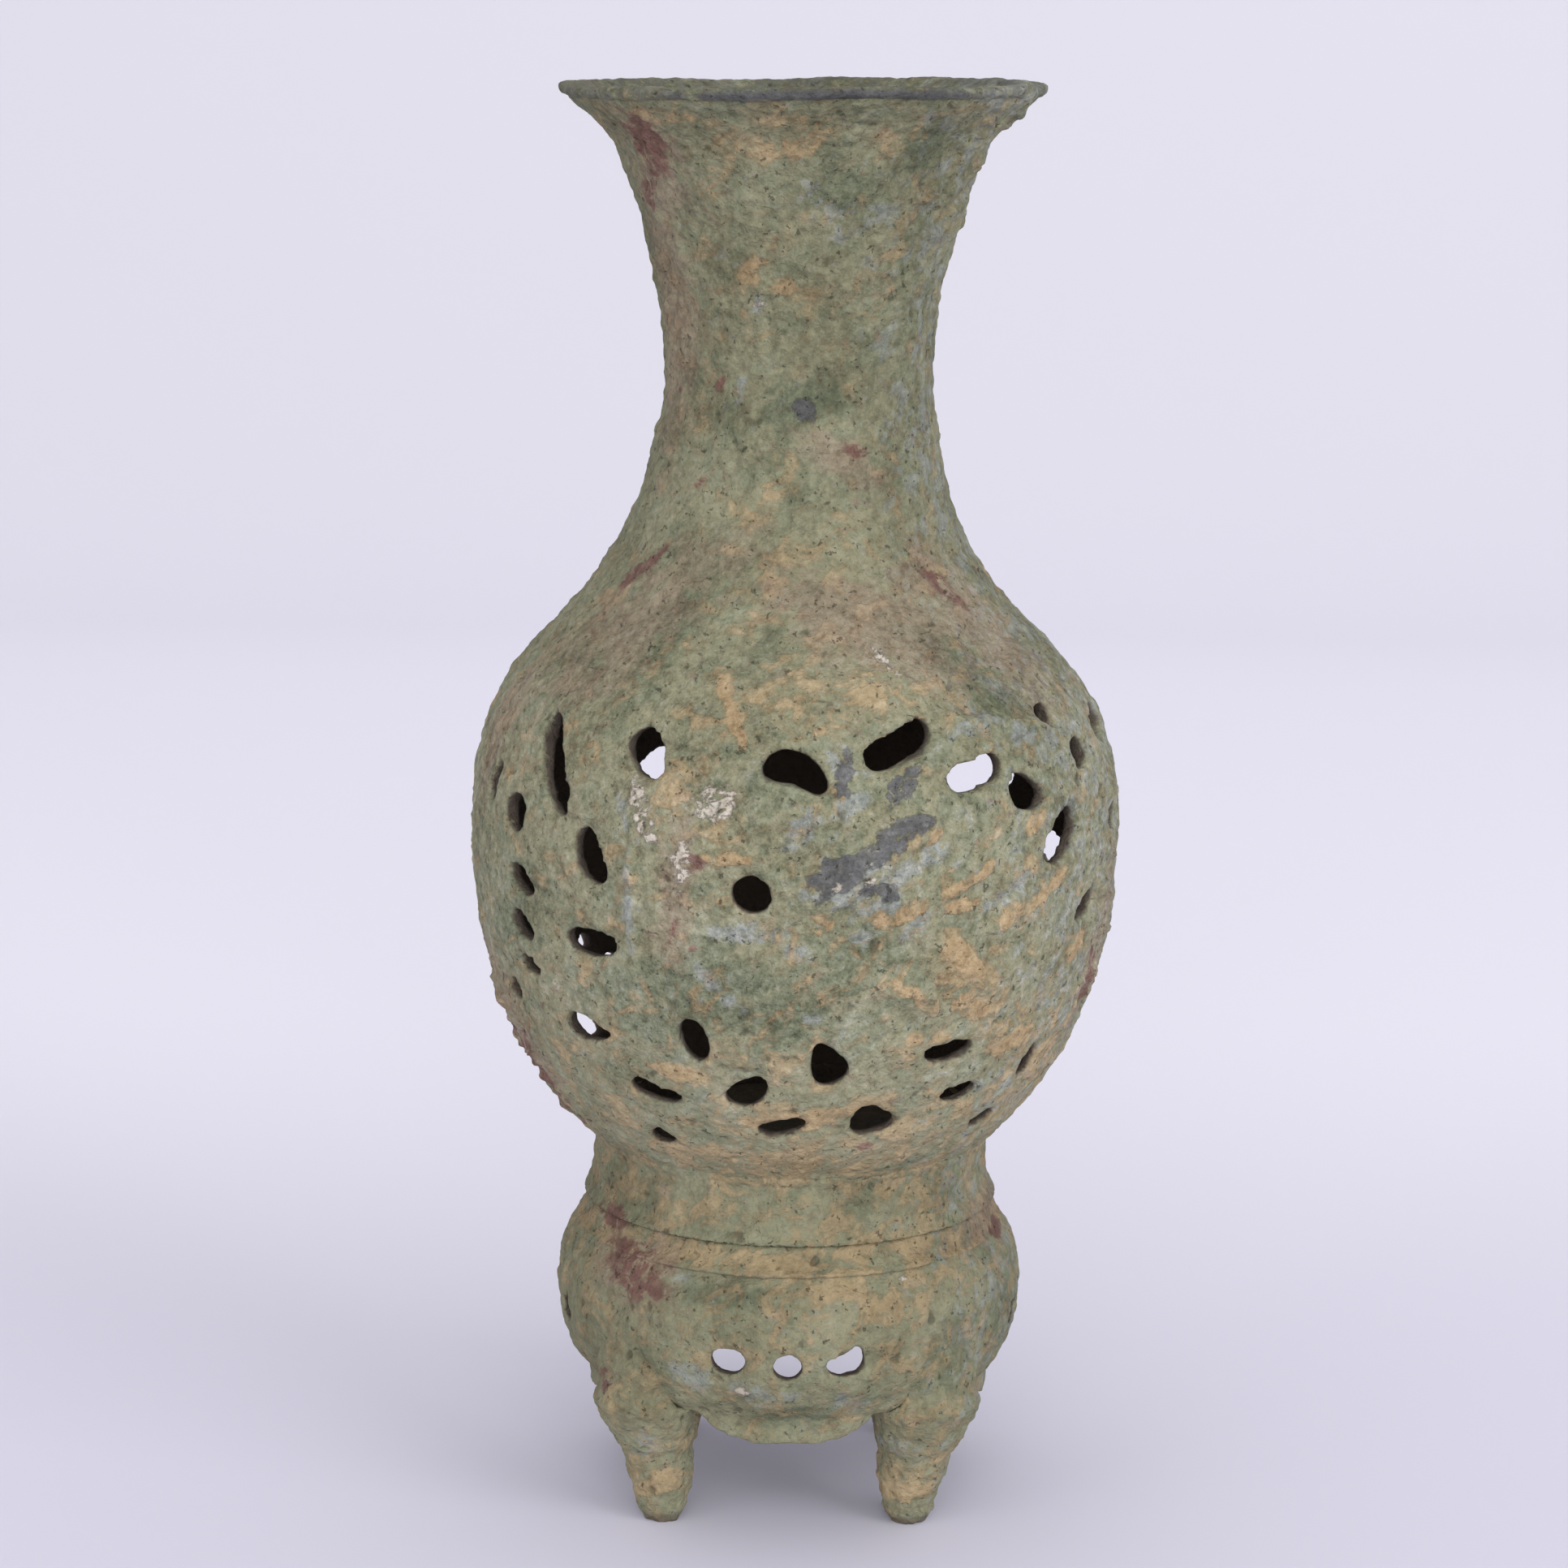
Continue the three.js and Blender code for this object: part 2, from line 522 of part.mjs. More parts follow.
function standBowl() {
  const ledgeBore = DRUM_BORE - DRUM_LEDGE_WIDTH;
  const ledgeBottom = SEAT_BOTTOM - DRUM_LEDGE_DEPTH;
  const widest = [DRUM_RADIUS, DRUM_LEVEL];
  const highEnd = [DRUM_TOP_RADIUS, DRUM_TOP];
  const highOuter = profile(widest, highEnd, DRUM_HIGH_CURVE, DRUM_HIGH_STEPS);
  const shell = turned([
    [DRUM_FOOT_RADIUS, APRON_BOTTOM],
    ...drumLowCurve(0).reverse(),
    ...highOuter.slice(1),
    [DRUM_BORE, DRUM_TOP],
    [DRUM_BORE, SEAT_BOTTOM],
    [ledgeBore, SEAT_BOTTOM],
    [ledgeBore, ledgeBottom],
    [DRUM_RADIUS - WALL, ledgeBottom - DRUM_LEDGE_SLOPE],
    ...drumLowCurve(WALL),
    [DRUM_FOOT_RADIUS - WALL, APRON_BOTTOM],
  ]);
  const cutters = APRONS.flatMap(([bearing, legBearing]) => [
    apronCutter(bearing, legBearing),
    ...apronHoleCutters(bearing),
  ]);
  return cutOut(shell, cutters);
}

// Room for the drum's wall, with play on both sides, above the leg seats.
function drumChannel() {
  const above = DRUM_LEVEL + KNEE_RISE;
  const outer = drumLowCurve(-FIT).reverse();
  const inner = drumLowCurve(WALL + FIT);
  return turned([...outer, [DRUM_RADIUS + FIT, above], [DRUM_RADIUS - WALL - FIT, above], ...inner]);
}

// Space inside the drum that the legs leave free.
function drumCore() {
  const radius = DRUM_FOOT_RADIUS - WALL - FIT - CHEEK;
  const above = DRUM_LEVEL + KNEE_RISE;
  return turned([[0, LEG_SEAT], [radius, LEG_SEAT], [radius, above], [0, above]], FLATS, false);
}

// Move a leg outwards above its ankle, by the full lean at the leg seats.
function leanOut(geometry) {
  const position = geometry.getAttribute('position');
  for (let i = 0; i < position.count; i += 1) {
    const rise = Math.max(0, position.getZ(i) - ANKLE_RISE) / (LEG_SEAT - ANKLE_RISE);
    position.setY(i, position.getY(i) - LEG_LEAN * rise);
  }
}

// One leg: a stout round leg with a stepped knee that leans out and grips the drum's lower edge.
function leg(bearing) {
  const kneeTop = LEG_SEAT + KNEE_RISE;
  const stepRadius = ANKLE_RADIUS + STEP_WIDTH;
  const blank = turned([
    [0, 0],
    [PAD_RADIUS, 0],
    [PAD_RADIUS + PAD_EDGE_WIDTH, PAD_EDGE_RISE],
    [ANKLE_RADIUS, ANKLE_RISE],
    [ANKLE_RADIUS, STEP_RISE],
    [stepRadius, STEP_RISE + STEP_BEVEL],
    [KNEE_RADIUS, LEG_SEAT],
    [KNEE_TOP_RADIUS, kneeTop],
    [0, kneeTop],
  ], LEG_FLATS, false);
  leanOut(blank);
  blank.translate(0, LEG_LEAN - KNEE_CIRCLE, 0);
  blank.rotateZ(degrees(bearing));
  return cutOut(blank, [drumChannel(), drumCore()]);
}

const PATINA = { color: 0x7c8263, roughness: 0.85, metalness: 0.3 };
const EARTHY_PATINA = { color: 0x8a8159, roughness: 0.9, metalness: 0.2 };
const BARE_BRONZE = { color: 0x55574f, roughness: 0.6, metalness: 0.6 };

const vase = new THREE.Group();

function addPiece(name, geometry, finish) {
  const mesh = new THREE.Mesh(geometry, new THREE.MeshStandardMaterial(finish));
  mesh.name = name;
  vase.add(mesh);
}

addPiece('lip_ring', lipRing(), BARE_BRONZE);
addPiece('neck', neck(), PATINA);
addPiece('pierced_body', piercedBody(), PATINA);
addPiece('base_plate', basePlate(), EARTHY_PATINA);
addPiece('foot_ring', footRing(), EARTHY_PATINA);
addPiece('stand_collar', standCollar(), EARTHY_PATINA);
addPiece('seat_ring', seatRing(), EARTHY_PATINA);
addPiece('stand_bowl', standBowl(), PATINA);
for (const [corner, bearing] of Object.entries(LEG_BEARINGS)) {
  addPiece(`leg_${corner}`, leg(bearing), EARTHY_PATINA);
}

export default vase;
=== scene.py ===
"""Looks of a pierced bronze vase in its stand: lumpy castings under a worn, earthy patina."""

import json
import math

import bmesh
import bpy
import numpy as np
from mathutils import Matrix, Vector, noise


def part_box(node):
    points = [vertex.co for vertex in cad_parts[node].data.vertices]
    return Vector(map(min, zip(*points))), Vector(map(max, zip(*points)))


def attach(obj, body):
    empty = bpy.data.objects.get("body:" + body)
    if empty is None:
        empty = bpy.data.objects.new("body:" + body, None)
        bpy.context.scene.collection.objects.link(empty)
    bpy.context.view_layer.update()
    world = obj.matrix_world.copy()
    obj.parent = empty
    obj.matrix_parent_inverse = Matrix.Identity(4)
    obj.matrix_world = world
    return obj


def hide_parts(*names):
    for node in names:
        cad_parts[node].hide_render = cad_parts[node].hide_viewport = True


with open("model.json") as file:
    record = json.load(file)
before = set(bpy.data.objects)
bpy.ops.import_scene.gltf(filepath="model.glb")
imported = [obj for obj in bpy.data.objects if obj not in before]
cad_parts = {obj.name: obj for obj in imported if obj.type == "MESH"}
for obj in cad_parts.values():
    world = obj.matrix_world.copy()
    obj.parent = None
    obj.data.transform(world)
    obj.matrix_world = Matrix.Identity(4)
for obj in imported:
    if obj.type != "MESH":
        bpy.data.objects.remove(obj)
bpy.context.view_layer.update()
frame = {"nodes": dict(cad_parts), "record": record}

# Units: shapes below are worked out in millimetres, bearings in degrees from the front (-Y) towards +X
MM = 0.001
FLATS = 40  # flats round the turned solids, which are made round here

# Levels of the joints between the pieces
RIM_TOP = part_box("lip_ring")[1].z / MM
NECK_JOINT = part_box("pierced_body")[1].z / MM
FOOT_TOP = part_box("pierced_body")[0].z / MM
COLLAR_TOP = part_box("stand_collar")[1].z / MM
DRUM_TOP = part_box("stand_bowl")[1].z / MM
NECK_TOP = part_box("lip_ring")[0].z / MM
MOUTH_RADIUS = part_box("lip_ring")[1].x / MM
COLLAR_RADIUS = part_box("stand_collar")[1].x / MM

# Rings of crust that close the seams: node, radius, level and thickness
SEAMS = [
    ("neck", 26.7, NECK_JOINT, 1.3),
    ("foot_ring", 37.8, FOOT_TOP + 1.0, 2.6),
    ("stand_bowl", COLLAR_RADIUS - 0.8, DRUM_TOP, 0.9),
]
SEAM_SIDES = 120  # sides of a ring round the vase
SEAM_SECTION_SIDES = 12
SEAM_UNEVENNESS = 0.15  # share of the thickness
SEAM_WAVES = 6.0  # size of a ring in the noise that makes it uneven
SEAM_SHIFT = 0.1  # way through that noise for each millimetre of level

# The neck runs out to the lip over this last height and this far
FLARE_RISE = 9.0
FLARE_REACH = 1.7
# Both ends of the neck lap this far into their neighbours, over this last height
LAP_REACH = 0.7
LAP_RISE = 1.5

# The stand's raised line swells out this far
BEAD_RISE = 1.2
BEAD_BEARINGS = (36, 44)  # from the first bearing to the second it sinks into the crust
BEAD_BOTTOM = (DRUM_TOP - 0.5, DRUM_TOP + 1.5)  # heights between which the swelling starts
BEAD_TOP = (COLLAR_TOP - 2.5, COLLAR_TOP)  # heights between which it ends
BEAD_SKIN = (COLLAR_RADIUS - 2.0, COLLAR_RADIUS - 0.5)  # radii between which it starts, outside the foot

# The foot flares out over the raised line: how far, over what height and how far above the line it ends
SKIRT_REACH = 2.2
SKIRT_RISE = 6.0
SKIRT_GAP = 0.35
SKIRT_RADII = (37.4, 38.6)  # radii between which the flare starts, outside the foot's bore
FOOT_SHOWN_RADII = (35.6, 36.6)  # nearer the axis than these the foot lies inside the belly

# Legs draw in by this share of their width, from the first height down to the second
LEG_TAPER = 0.26
LEG_TAPER_HEIGHTS = (15.0, 1.5)
SOLE_HEIGHT = 0.6  # below this height a leg's points belong to its sole
# Swelling that runs a leg's knee into the drum: distance from the axis, height, and half sizes out,
# across and up
KNEE_REACH = 41.0
KNEE_HEIGHT = 33.5
KNEE_HALF_SIZES = (6.4, 10.0, 11.0)
KNEE_FINENESS = 4

# The mouth tilts and waves: over what height, how far at its edge, and each wave's height, count and shift
MOUTH_RISE = 45.0
MOUTH_TILT = 0.62
MOUTH_WAVES = [(0.22, 3.0, 0.8), (0.12, 7.0, 0.0)]

# Meshes: distance of points that are one, share of softening at each step and most triangles of a piece
WELD = 0.002
SOFTENING = 0.5
TRIANGLE_LIMIT = 190000
# Profile of a turned piece, read off its mesh: step of the heights, and steps to either side that
# are smoothed
PROFILE_STEP = 0.5
PROFILE_SPAN = 6
AXIS_GUARD = 0.1  # nearer the axis than this a point has no sure bearing
# Turn of a face from its piece's outside at which it starts to count as inside, and at which it
# does in full: pieces whose piercings have walls, and others
WALL_FACING = (-0.55, -0.15)
INNER_FACING = (0.2, 0.6)

# Noise of the cast surface: strength, size of its lumps, octaves and a shift of its own
LUMPS = (0.45, 11.0, 3, 0.0)
SKIN = (0.36, 2.2, 2, 5.0)
CRUST = (1.8, 4.2, 3, 11.0)
PITS = (1.0, 3.2, 2, 23.0)
CRUST_EDGE = (0.4, 9.0, 2, 31.0)
STROKE_EDGE = (0.3, 4.0, 2, 41.0)
PATCH_EDGE = (0.35, 3.2, 3, 3.0)
THIN_CRUST = 0.12  # share of the crust outside its patches
PIT_START = 0.40  # a pit starts where its noise is above this
STROKE_RISE = 0.9  # height of the worn strokes
FULL_RELIEF = 0.5  # relief up or down that the finish takes as full
INSIDE_SMOOTHNESS = 0.7  # share of the relief that the inside lacks
HIDDEN_ROUGHNESS = 0.3  # share of the relief on pieces that don't show

# Fits stay smooth: stretches over which the relief starts beside them
SKIRT_FADE = 2.0
COLLAR_SKIN = (COLLAR_RADIUS - 2.6, COLLAR_RADIUS - 1.6)
COLLAR_FADE = 0.6
DRUM_FADE = 1.5

# Camera of the photograph
IMAGE = 1932  # pixels each way
FOCAL_PIXELS = 4967
AXIS_OFFSET_PIXELS = 14  # the vase stands this far right of the picture's middle
SENSOR = 36.0  # millimetres
CAMERA_PLACE = (0.0, -0.784, 0.29916)  # metres
CAMERA_DIP = 11.2  # degrees
CAMERA_ROLL = 0.8  # degrees

# Lean of the casting: heights and how far it stands to the right there
LEAN_HEIGHTS = (0, 150, 178, 190, 205, 225, 281)
LEAN_SHIFTS = (0, 0, -0.9, -1.3, -0.7, -0.5, -0.4)

# Tone by height: heights and how far the patina is lighter or darker there; the lift around the lower
# belly is painted light, for light bounced up from the floor
TONE_HEIGHTS = (0, 30, 54, 57, 72, 82, 200, 225, 278, 279)
TONES = (0.02, -0.05, -0.07, -0.12, -0.05, 0.08, -0.06, -0.10, -0.10, -0.14)

# Earth that stayed on the lower part: heights and its share there
EARTH_HEIGHTS = (0, 30, 62, 80, 130)
EARTH_SHARES = (0.05, 0.14, 0.22, 0.28, 0)
# Earth on the ledge of the raised line: its share, and heights between which it starts and ends
LEDGE_EARTH = 0.5
LEDGE_BOTTOM = (DRUM_TOP - 0.4, DRUM_TOP + 0.6)
LEDGE_TOP = (COLLAR_TOP - 1.0, COLLAR_TOP + 0.5)

# Strength of the grain: heights and its strength there
STRENGTH_HEIGHTS = (0, 70, 110, 150, 185, 281)
STRENGTHS = (0.24, 0.30, 0.72, 0.76, 0.46, 0.46)

# Strength of the patches: heights and how clearly they stand out there
PATCH_HEIGHTS = (0, 75, 100, 165, 195, 281)
PATCH_STRENGTHS = (0.62, 0.62, 1.0, 1.0, 0.62, 0.62)

# Thinness of the layers outside their patches: heights and how well they cover there
VEIL_HEIGHTS = (0, 60, 85, 105, 160, 185, 281)
VEILS = (0.7, 0.64, 0.75, 1.0, 1.0, 0.82, 0.82)

# Dark brown of painted shade and corrosion: depths below the rim at which the inside darkens, and heights
# at which the soles darken towards the floor
MOUTH_DEPTHS = (8.0, 40.0)
SOLE_HEIGHTS = (0.6, 3.0)
SOLE_DARKNESS = 0.7
# hidden pieces inside the vase and the stand take this much painted shade with corrosion
HIDDEN_DARKNESS = 0.7

# Painted cool light on the right side: its share of blue-grey, and bearings between which it starts and
# ends
PAINTED_COOL_LIGHT_SHARE = 0.62
COOL_START = (15.0, 60.0)
COOL_END = (110.0, 170.0)

# Shares of the washes and patches, and how soft their edges are
TAN_SHARE = 0.29
GREEN_SHARE = 0.8
RUST_SHARE = 0.52
RED_SHARE = 0.9
WASH_SOFTNESS = 0.5
RUST_SOFTNESS = 0.6
EARTH_SOFTNESS = 0.32
FLAKE_SOFTNESS = 0.4
PATCH_SOFTNESS = 0.25
# How far the washes change the tone
GREEN_DARKENING = 0.09
TAN_LIGHTENING = 0.12

# Wide washes of colour: bearing, height, length, width and tilt
GREEN_WASHES = [
    (1, 222, 18, 9, 20),
    (38, 270, 12, 8, 60),
    (14, 262, 12, 7, 0),
    (-30, 180, 26, 8, 70),
    (42, 172, 26, 9, -50),
    (-12, 117, 34, 16, -10),
    (-27, 113, 18, 14, 0),
    (-1, 111, 14, 10, 40),
    (12, 125, 26, 10, 50),
    (-58, 124, 20, 10, 70),
    (43, 39, 16, 10, 60),
    (66, 44, 24, 14, 60),
    (49, 68, 12, 8, 40),
    (8, 28, 26, 6, 10),
    (-17, 52, 26, 5, 0),
    (110, 140, 50, 24, 30),
    (190, 190, 40, 22, -40),
    (230, 120, 44, 26, 60),
    (150, 250, 40, 20, 80),
    (170, 42, 40, 14, 0),
]
TAN_WASHES = [
    (-9, 272, 24, 8, 10),
    (-61, 232, 26, 8, 88),
    (-15, 200, 22, 6, 62),
    (14, 180, 34, 14, 20),
    (19, 172, 30, 12, -20),
    (-3, 167, 34, 9, 0),
    (54, 187, 26, 9, -55),
    (-65, 178, 22, 10, 45),
    (-58, 154, 18, 9, 80),
    (-22, 150, 18, 10, -30),
    (36, 112, 26, 14, 10),
    (56, 96, 28, 16, 60),
    (12, 81, 40, 9, 6),
    (-17, 79, 28, 7, -4),
    (14, 50, 38, 11, 4),
    (41, 12, 12, 8, 60),
    (-44, 10, 12, 8, 60),
    (-6, 190, 20, 8, 60),
    (31, 191, 24, 12, -40),
    (140, 185, 44, 18, 30),
    (200, 95, 48, 24, -20),
    (250, 170, 36, 14, 50),
    (120, 80, 40, 14, 0),
    (215, 250, 36, 12, 75),
    (200, 48, 44, 10, 0),
]
RUST_WASHES = [
    (-45, 180, 44, 22, 45),
    (-70, 160, 30, 14, 80),
    (22, 182, 46, 18, -15),
    (52, 180, 40, 22, -50),
    (-20, 134, 34, 8, 85),
    (-70, 100, 40, 20, -62),
    (72, 118, 40, 14, 75),
    (-62, 240, 70, 16, 88),
    (-52, 264, 26, 16, 65),
    (18, 212, 20, 8, -30),
    (-45, 54, 30, 14, 0),
    (72, 60, 24, 10, 0),
    (180, 180, 60, 24, 20),
    (130, 110, 40, 20, -30),
    (230, 150, 40, 18, 60),
    (200, 240, 50, 16, 80),
    (160, 45, 40, 14, 0),
]
# Patches on the outside: bearing, height, length, width and tilt
BARE_PATCHES = [
    (8, 139.5, 13, 7, 20),
    (13.5, 136.5, 9, 3.6, -10),
    (17.5, 146.5, 16, 5.4, 32),
    (18.5, 155, 11, 4, 42),
    (8.7, 157, 8, 3.4, 75),
    (6, 279.6, 56, 1.8, 0),
    (3, 221, 5, 4, -40),
]
BLUE_PATCHES = [
    (1, 148, 10, 5, 60),
    (19, 140, 9, 4, 30),
    (11, 137, 20, 12, 12),
    (8, 160.5, 8, 5, -60),
    (36, 165, 12, 4, 15),
    (47, 162.5, 9, 5, 0),
    (10, 152.5, 8, 4, 35),
    (39, 134, 12, 4, 30),
    (-8, 128, 14, 4, -5),
    (0, 125, 9, 3, -20),
    (11, 127.5, 5, 2.6, 0),
    (-30, 148.5, 9, 3.5, -70),
    (-28.5, 132, 20, 2.6, 92),
    (21, 129, 9, 4, 40),
    (-13, 117.5, 14, 3, -45),
    (4, 112, 6, 3, 0),
    (2, 262, 9, 5, -40),
    (13, 255.5, 12, 5, -40),
    (25, 256, 15, 8, 10),
    (30, 250, 9, 5, 40),
    (-17, 240, 8, 4, 30),
    (-22, 249, 5, 4, 0),
    (-25, 224, 8, 2.4, 80),
    (24, 143, 9, 4, 30),
    (36, 132, 7, 3, 20),
    (-18, 250, 5, 3, 0),
    (14, 270.5, 6, 3, 0),
    (35, 275, 6, 4, 0),
    (54, 70, 14, 4, 40),
    (-38, 69, 4, 3, 0),
    (-37, 61, 4, 3, 0),
    (-32, 54, 12, 3, 0),
    (47, 58, 8, 3, 40),
    (-24, 35, 9, 7, 0),
    (-11, 33.5, 10, 4, 0),
    (17, 30, 8, 4, 0),
    (3, 31, 26, 4.4, 0),
    (-39, 18.5, 8, 5, 60),
    (32, 17, 12, 4, 70),
    (140, 130, 20, 6, 30),
    (185, 160, 16, 5, -30),
    (225, 145, 18, 5, 60),
    (110, 255, 16, 6, 60),
    (250, 100, 14, 5, 20),
]
CREAM_PATCHES = [
    (-14, 152, 9, 7, 30),
    (-28, 153, 6, 4, -60),
    (-26, 147, 9, 4, -60),
    (-19, 141, 11, 3.4, 82),
    (7, 137.5, 3, 1.4, 60),
    (12.5, 138.5, 4, 1.6, 30),
    (-19.5, 141, 4, 3, 0),
    (21, 176.5, 6, 2.2, -52),
    (29.7, 190.5, 2.6, 1.8, 60),
    (-17, 240, 4, 2, 30),
    (30, 54.5, 2, 1.6, 0),
    (-11, 33, 3, 2, 0),
    (160, 152, 9, 5, 40),
    (210, 120, 8, 4, -50),
]
RED_PATCHES = [
    (-53, 189.5, 15, 3, 42),
    (-43, 54, 18, 10, -20),
    (-58, 61, 12, 5, 0),
    (-49, 30.5, 7, 5, 0),
    (-52, 270, 14, 11, 55),
    (-62, 260, 9, 5, 75),
    (-70, 91, 27, 9, -62),
    (-17, 141, 6, 3.4, 0),
    (-20.5, 127, 5.5, 2.2, 80),
    (-17, 124, 2.6, 2.2, 0),
    (77, 56, 8, 4, 0),
    (50, 188, 12, 4, -50),
    (-38, 207, 4, 2, 60),
    (25, 213, 6, 2.4, -20),
    (70, 112, 12, 5, 75),
    (17, 83, 3.6, 2.4, 0),
    (-61, 223, 3, 2, 0),
    (-35, 225, 3, 2, 50),
    (128, 176, 14, 4, 40),
    (168, 122, 16, 6, -50),
    (215, 98, 20, 7, 60),
    (150, 48, 11, 7, 20),
    (235, 250, 12, 6, 70),
]
EARTH_PATCHES = [
    (-11, 142, 11, 2.4, 2),
    (30, 137, 13, 3, 24),
    (29.5, 132.5, 8, 2.6, 8),
    (24, 146, 4, 2.6, 30),
    (39, 129.3, 7, 5.4, 40),
    (30, 122.5, 14, 4.6, -45),
    (49, 133, 13, 2.8, 32),
    (20, 116.7, 8, 3.2, -40),
    (22.5, 107, 5, 3, 0),
    (32.5, 112.6, 12, 4, -25),
    (45.7, 103, 12, 4, 15),
    (60, 119.6, 8, 3, 35),
    (45.3, 146, 6, 4, 30),
    (19.8, 132, 9, 4.4, 25),
    (14, 131, 4, 3.4, 0),
    (4.5, 130, 6, 4, 20),
    (-40, 9, 9, 5, 40),
    (40, 8.5, 12, 4.5, 25),
    (-18, 247, 7, 5, 50),
    (-7, 244, 6, 4, 20),
    (-40, 275.5, 20, 3.4, 0),
    (-4, 270, 14, 4, 6),
    (-12, 168, 14, 3, -60),
    (2, 90, 24, 5, 8),
    (-22, 99, 12, 4, -10),
    (160, 148, 18, 5, 30),
    (205, 132, 15, 6, -40),
    (118, 108, 16, 6, 25),
    (250, 152, 14, 4, 60),
    (95, 190, 18, 4, 50),
    (190, 240, 16, 5, 70),
]
CRUST_PATCHES = [
    (-68, 92, 34, 16, -62),
    (62, 262, 44, 20, 70),
    (-62, 246, 30, 12, 80),
    (72, 128, 40, 12, 80),
    (-150, 150, 40, 18, 40),
    (170, 100, 40, 20, -30),
    (130, 250, 40, 16, 70),
]
# Worn raised strokes on the belly: bearing, height, length, width and tilt
RELIEF_STROKES = [
    (13, 141, 32, 7, 32),
    (30, 137, 14, 3.4, 24),
    (30, 122.5, 15, 5, -45),
    (39, 130, 10, 5, 40),
    (20, 116.5, 16, 5, -32),
    (-11, 142, 13, 2.6, 2),
    (-28, 133, 24, 2.6, 92),
    (42, 164, 26, 4, -8),
    (158, 128, 28, 6, 35),
    (188, 140, 22, 5, -45),
    (172, 112, 20, 5, 15),
]


# Mesh helpers


def read_points(mesh):
    """The mesh's vertices, in millimetres."""
    values = np.empty(len(mesh.vertices) * 3, np.float32)
    mesh.vertices.foreach_get("co", values)
    return values.reshape(-1, 3).astype(float) / MM


def write_points(mesh, points):
    mesh.vertices.foreach_set("co", (points * MM).astype(np.float32).ravel())
    mesh.update()


def read_normals(mesh):
    values = np.empty(len(mesh.vertices) * 3, np.float32)
    mesh.vertex_normals.foreach_get("vector", values)
    return values.reshape(-1, 3).astype(float)


def write_attribute(mesh, name, values):
    attribute = mesh.attributes.new(name, "FLOAT", "POINT")
    attribute.data.foreach_set("value", values.astype(np.float32))


def apply_modifiers(piece):
    """Replace the piece's mesh by what its modifiers make of it."""
    graph = bpy.context.evaluated_depsgraph_get()
    result = bpy.data.meshes.new_from_object(piece.evaluated_get(graph))
    piece.modifiers.clear()
    before = piece.data
    piece.data = result
    bpy.data.meshes.remove(before)


def node_copy(node):
    """A new piece with the shape of a node, its split vertices welded."""
    mesh = frame["nodes"][node].data.copy()
    mesh.materials.clear()
    shape = bmesh.new()
    shape.from_mesh(mesh)
    bmesh.ops.remove_doubles(shape, verts=shape.verts, dist=WELD * MM)
    shape.to_mesh(mesh)
    shape.free()
    piece = bpy.data.objects.new("cast_" + node, mesh)
    bpy.context.scene.collection.objects.link(piece)
    return piece


def remesh(piece, voxel, softening):
    """Give the piece an even, fine mesh with softened edges."""
    skin = piece.modifiers.new("skin", "REMESH")
    skin.mode = "VOXEL"
    skin.voxel_size = voxel * MM
    skin.use_smooth_shade = True
    soften = piece.modifiers.new("soften", "SMOOTH")
    soften.factor = SOFTENING
    soften.iterations = softening
    apply_modifiers(piece)


def thin_out(piece):
    """Bring the piece under the limit of triangles, where it is smoothest."""
    triangles = 2 * len(piece.data.polygons)
    if triangles <= TRIANGLE_LIMIT:
        return
    thinner = piece.modifiers.new("thinner", "DECIMATE")
    thinner.ratio = TRIANGLE_LIMIT / triangles
    thinner.use_collapse_triangulate = True
    apply_modifiers(piece)


# Shape fields, each a number for every vertex


def field(points, strength, size, octaves, shift):
    """Smooth noise of about the given strength either way, with lumps of the given size."""
    scaled = (points / size + shift).tolist()
    return strength * np.array([noise.fractal(point, 1.0, 2.0, octaves) for point in scaled])


def rise_between(values, low, high):
    """0 below low, 1 above high and a smooth rise between them."""
    share = np.clip((values - low) / (high - low), 0.0, 1.0)
    return share * share * (3.0 - 2.0 * share)


def fall_between(values, low, high):
    """1 below low, 0 above high and a smooth fall between them."""
    return rise_between(-values, -high, -low)


def bearings(points):
    return np.degrees(np.arctan2(points[:, 0], -points[:, 1]))


def radii(points):
    return np.hypot(points[:, 0], points[:, 1])


def made_round(points):
    """Move points on the flats of a turned solid out to the true circle."""
    flat = 360.0 / FLATS
    off_middle = np.radians(np.mod(bearings(points), flat) - flat / 2)
    grown = points.copy()
    grown[:, :2] *= (np.cos(off_middle) / math.cos(math.radians(flat / 2)))[:, None]
    return grown


def outside_radius(points):
    """Heights up a piece, and the smoothed radius of its outside there."""
    height = points[:, 2]
    slots = np.floor((height - height.min()) / PROFILE_STEP).astype(int)
    outermost = np.zeros(slots.max() + 1)
    np.maximum.at(outermost, slots, radii(points))
    padded = np.pad(outermost, PROFILE_SPAN, mode="edge")
    window = np.ones(2 * PROFILE_SPAN + 1) / (2 * PROFILE_SPAN + 1)
    levels = height.min() + (np.arange(len(outermost)) + 0.5) * PROFILE_STEP
    return levels, np.convolve(padded, window, mode="valid")


def facing_in(mesh):
    """-1 where a face lies along the outside of a turned piece, 0 across it and 1 on its inside."""
    points = read_points(mesh)
    normals = read_normals(mesh)
    levels, radius = outside_radius(points)
    slope = np.interp(points[:, 2], levels, np.gradient(radius, PROFILE_STEP))
    outwards = points[:, :2] / np.maximum(radii(points), AXIS_GUARD)[:, None]
    across = np.sum(normals[:, :2] * outwards, axis=1)
    return (slope * normals[:, 2] - across) / np.hypot(1.0, slope)


def inside_share(mesh, node):
    """0 on a piece's outside, rising to 1 on its inside and on the walls of its piercings."""
    if node not in TURNED:
        return np.zeros(len(mesh.vertices))
    low, high = WALL_FACING if node in PIERCED else INNER_FACING
    return rise_between(facing_in(mesh), low, high)


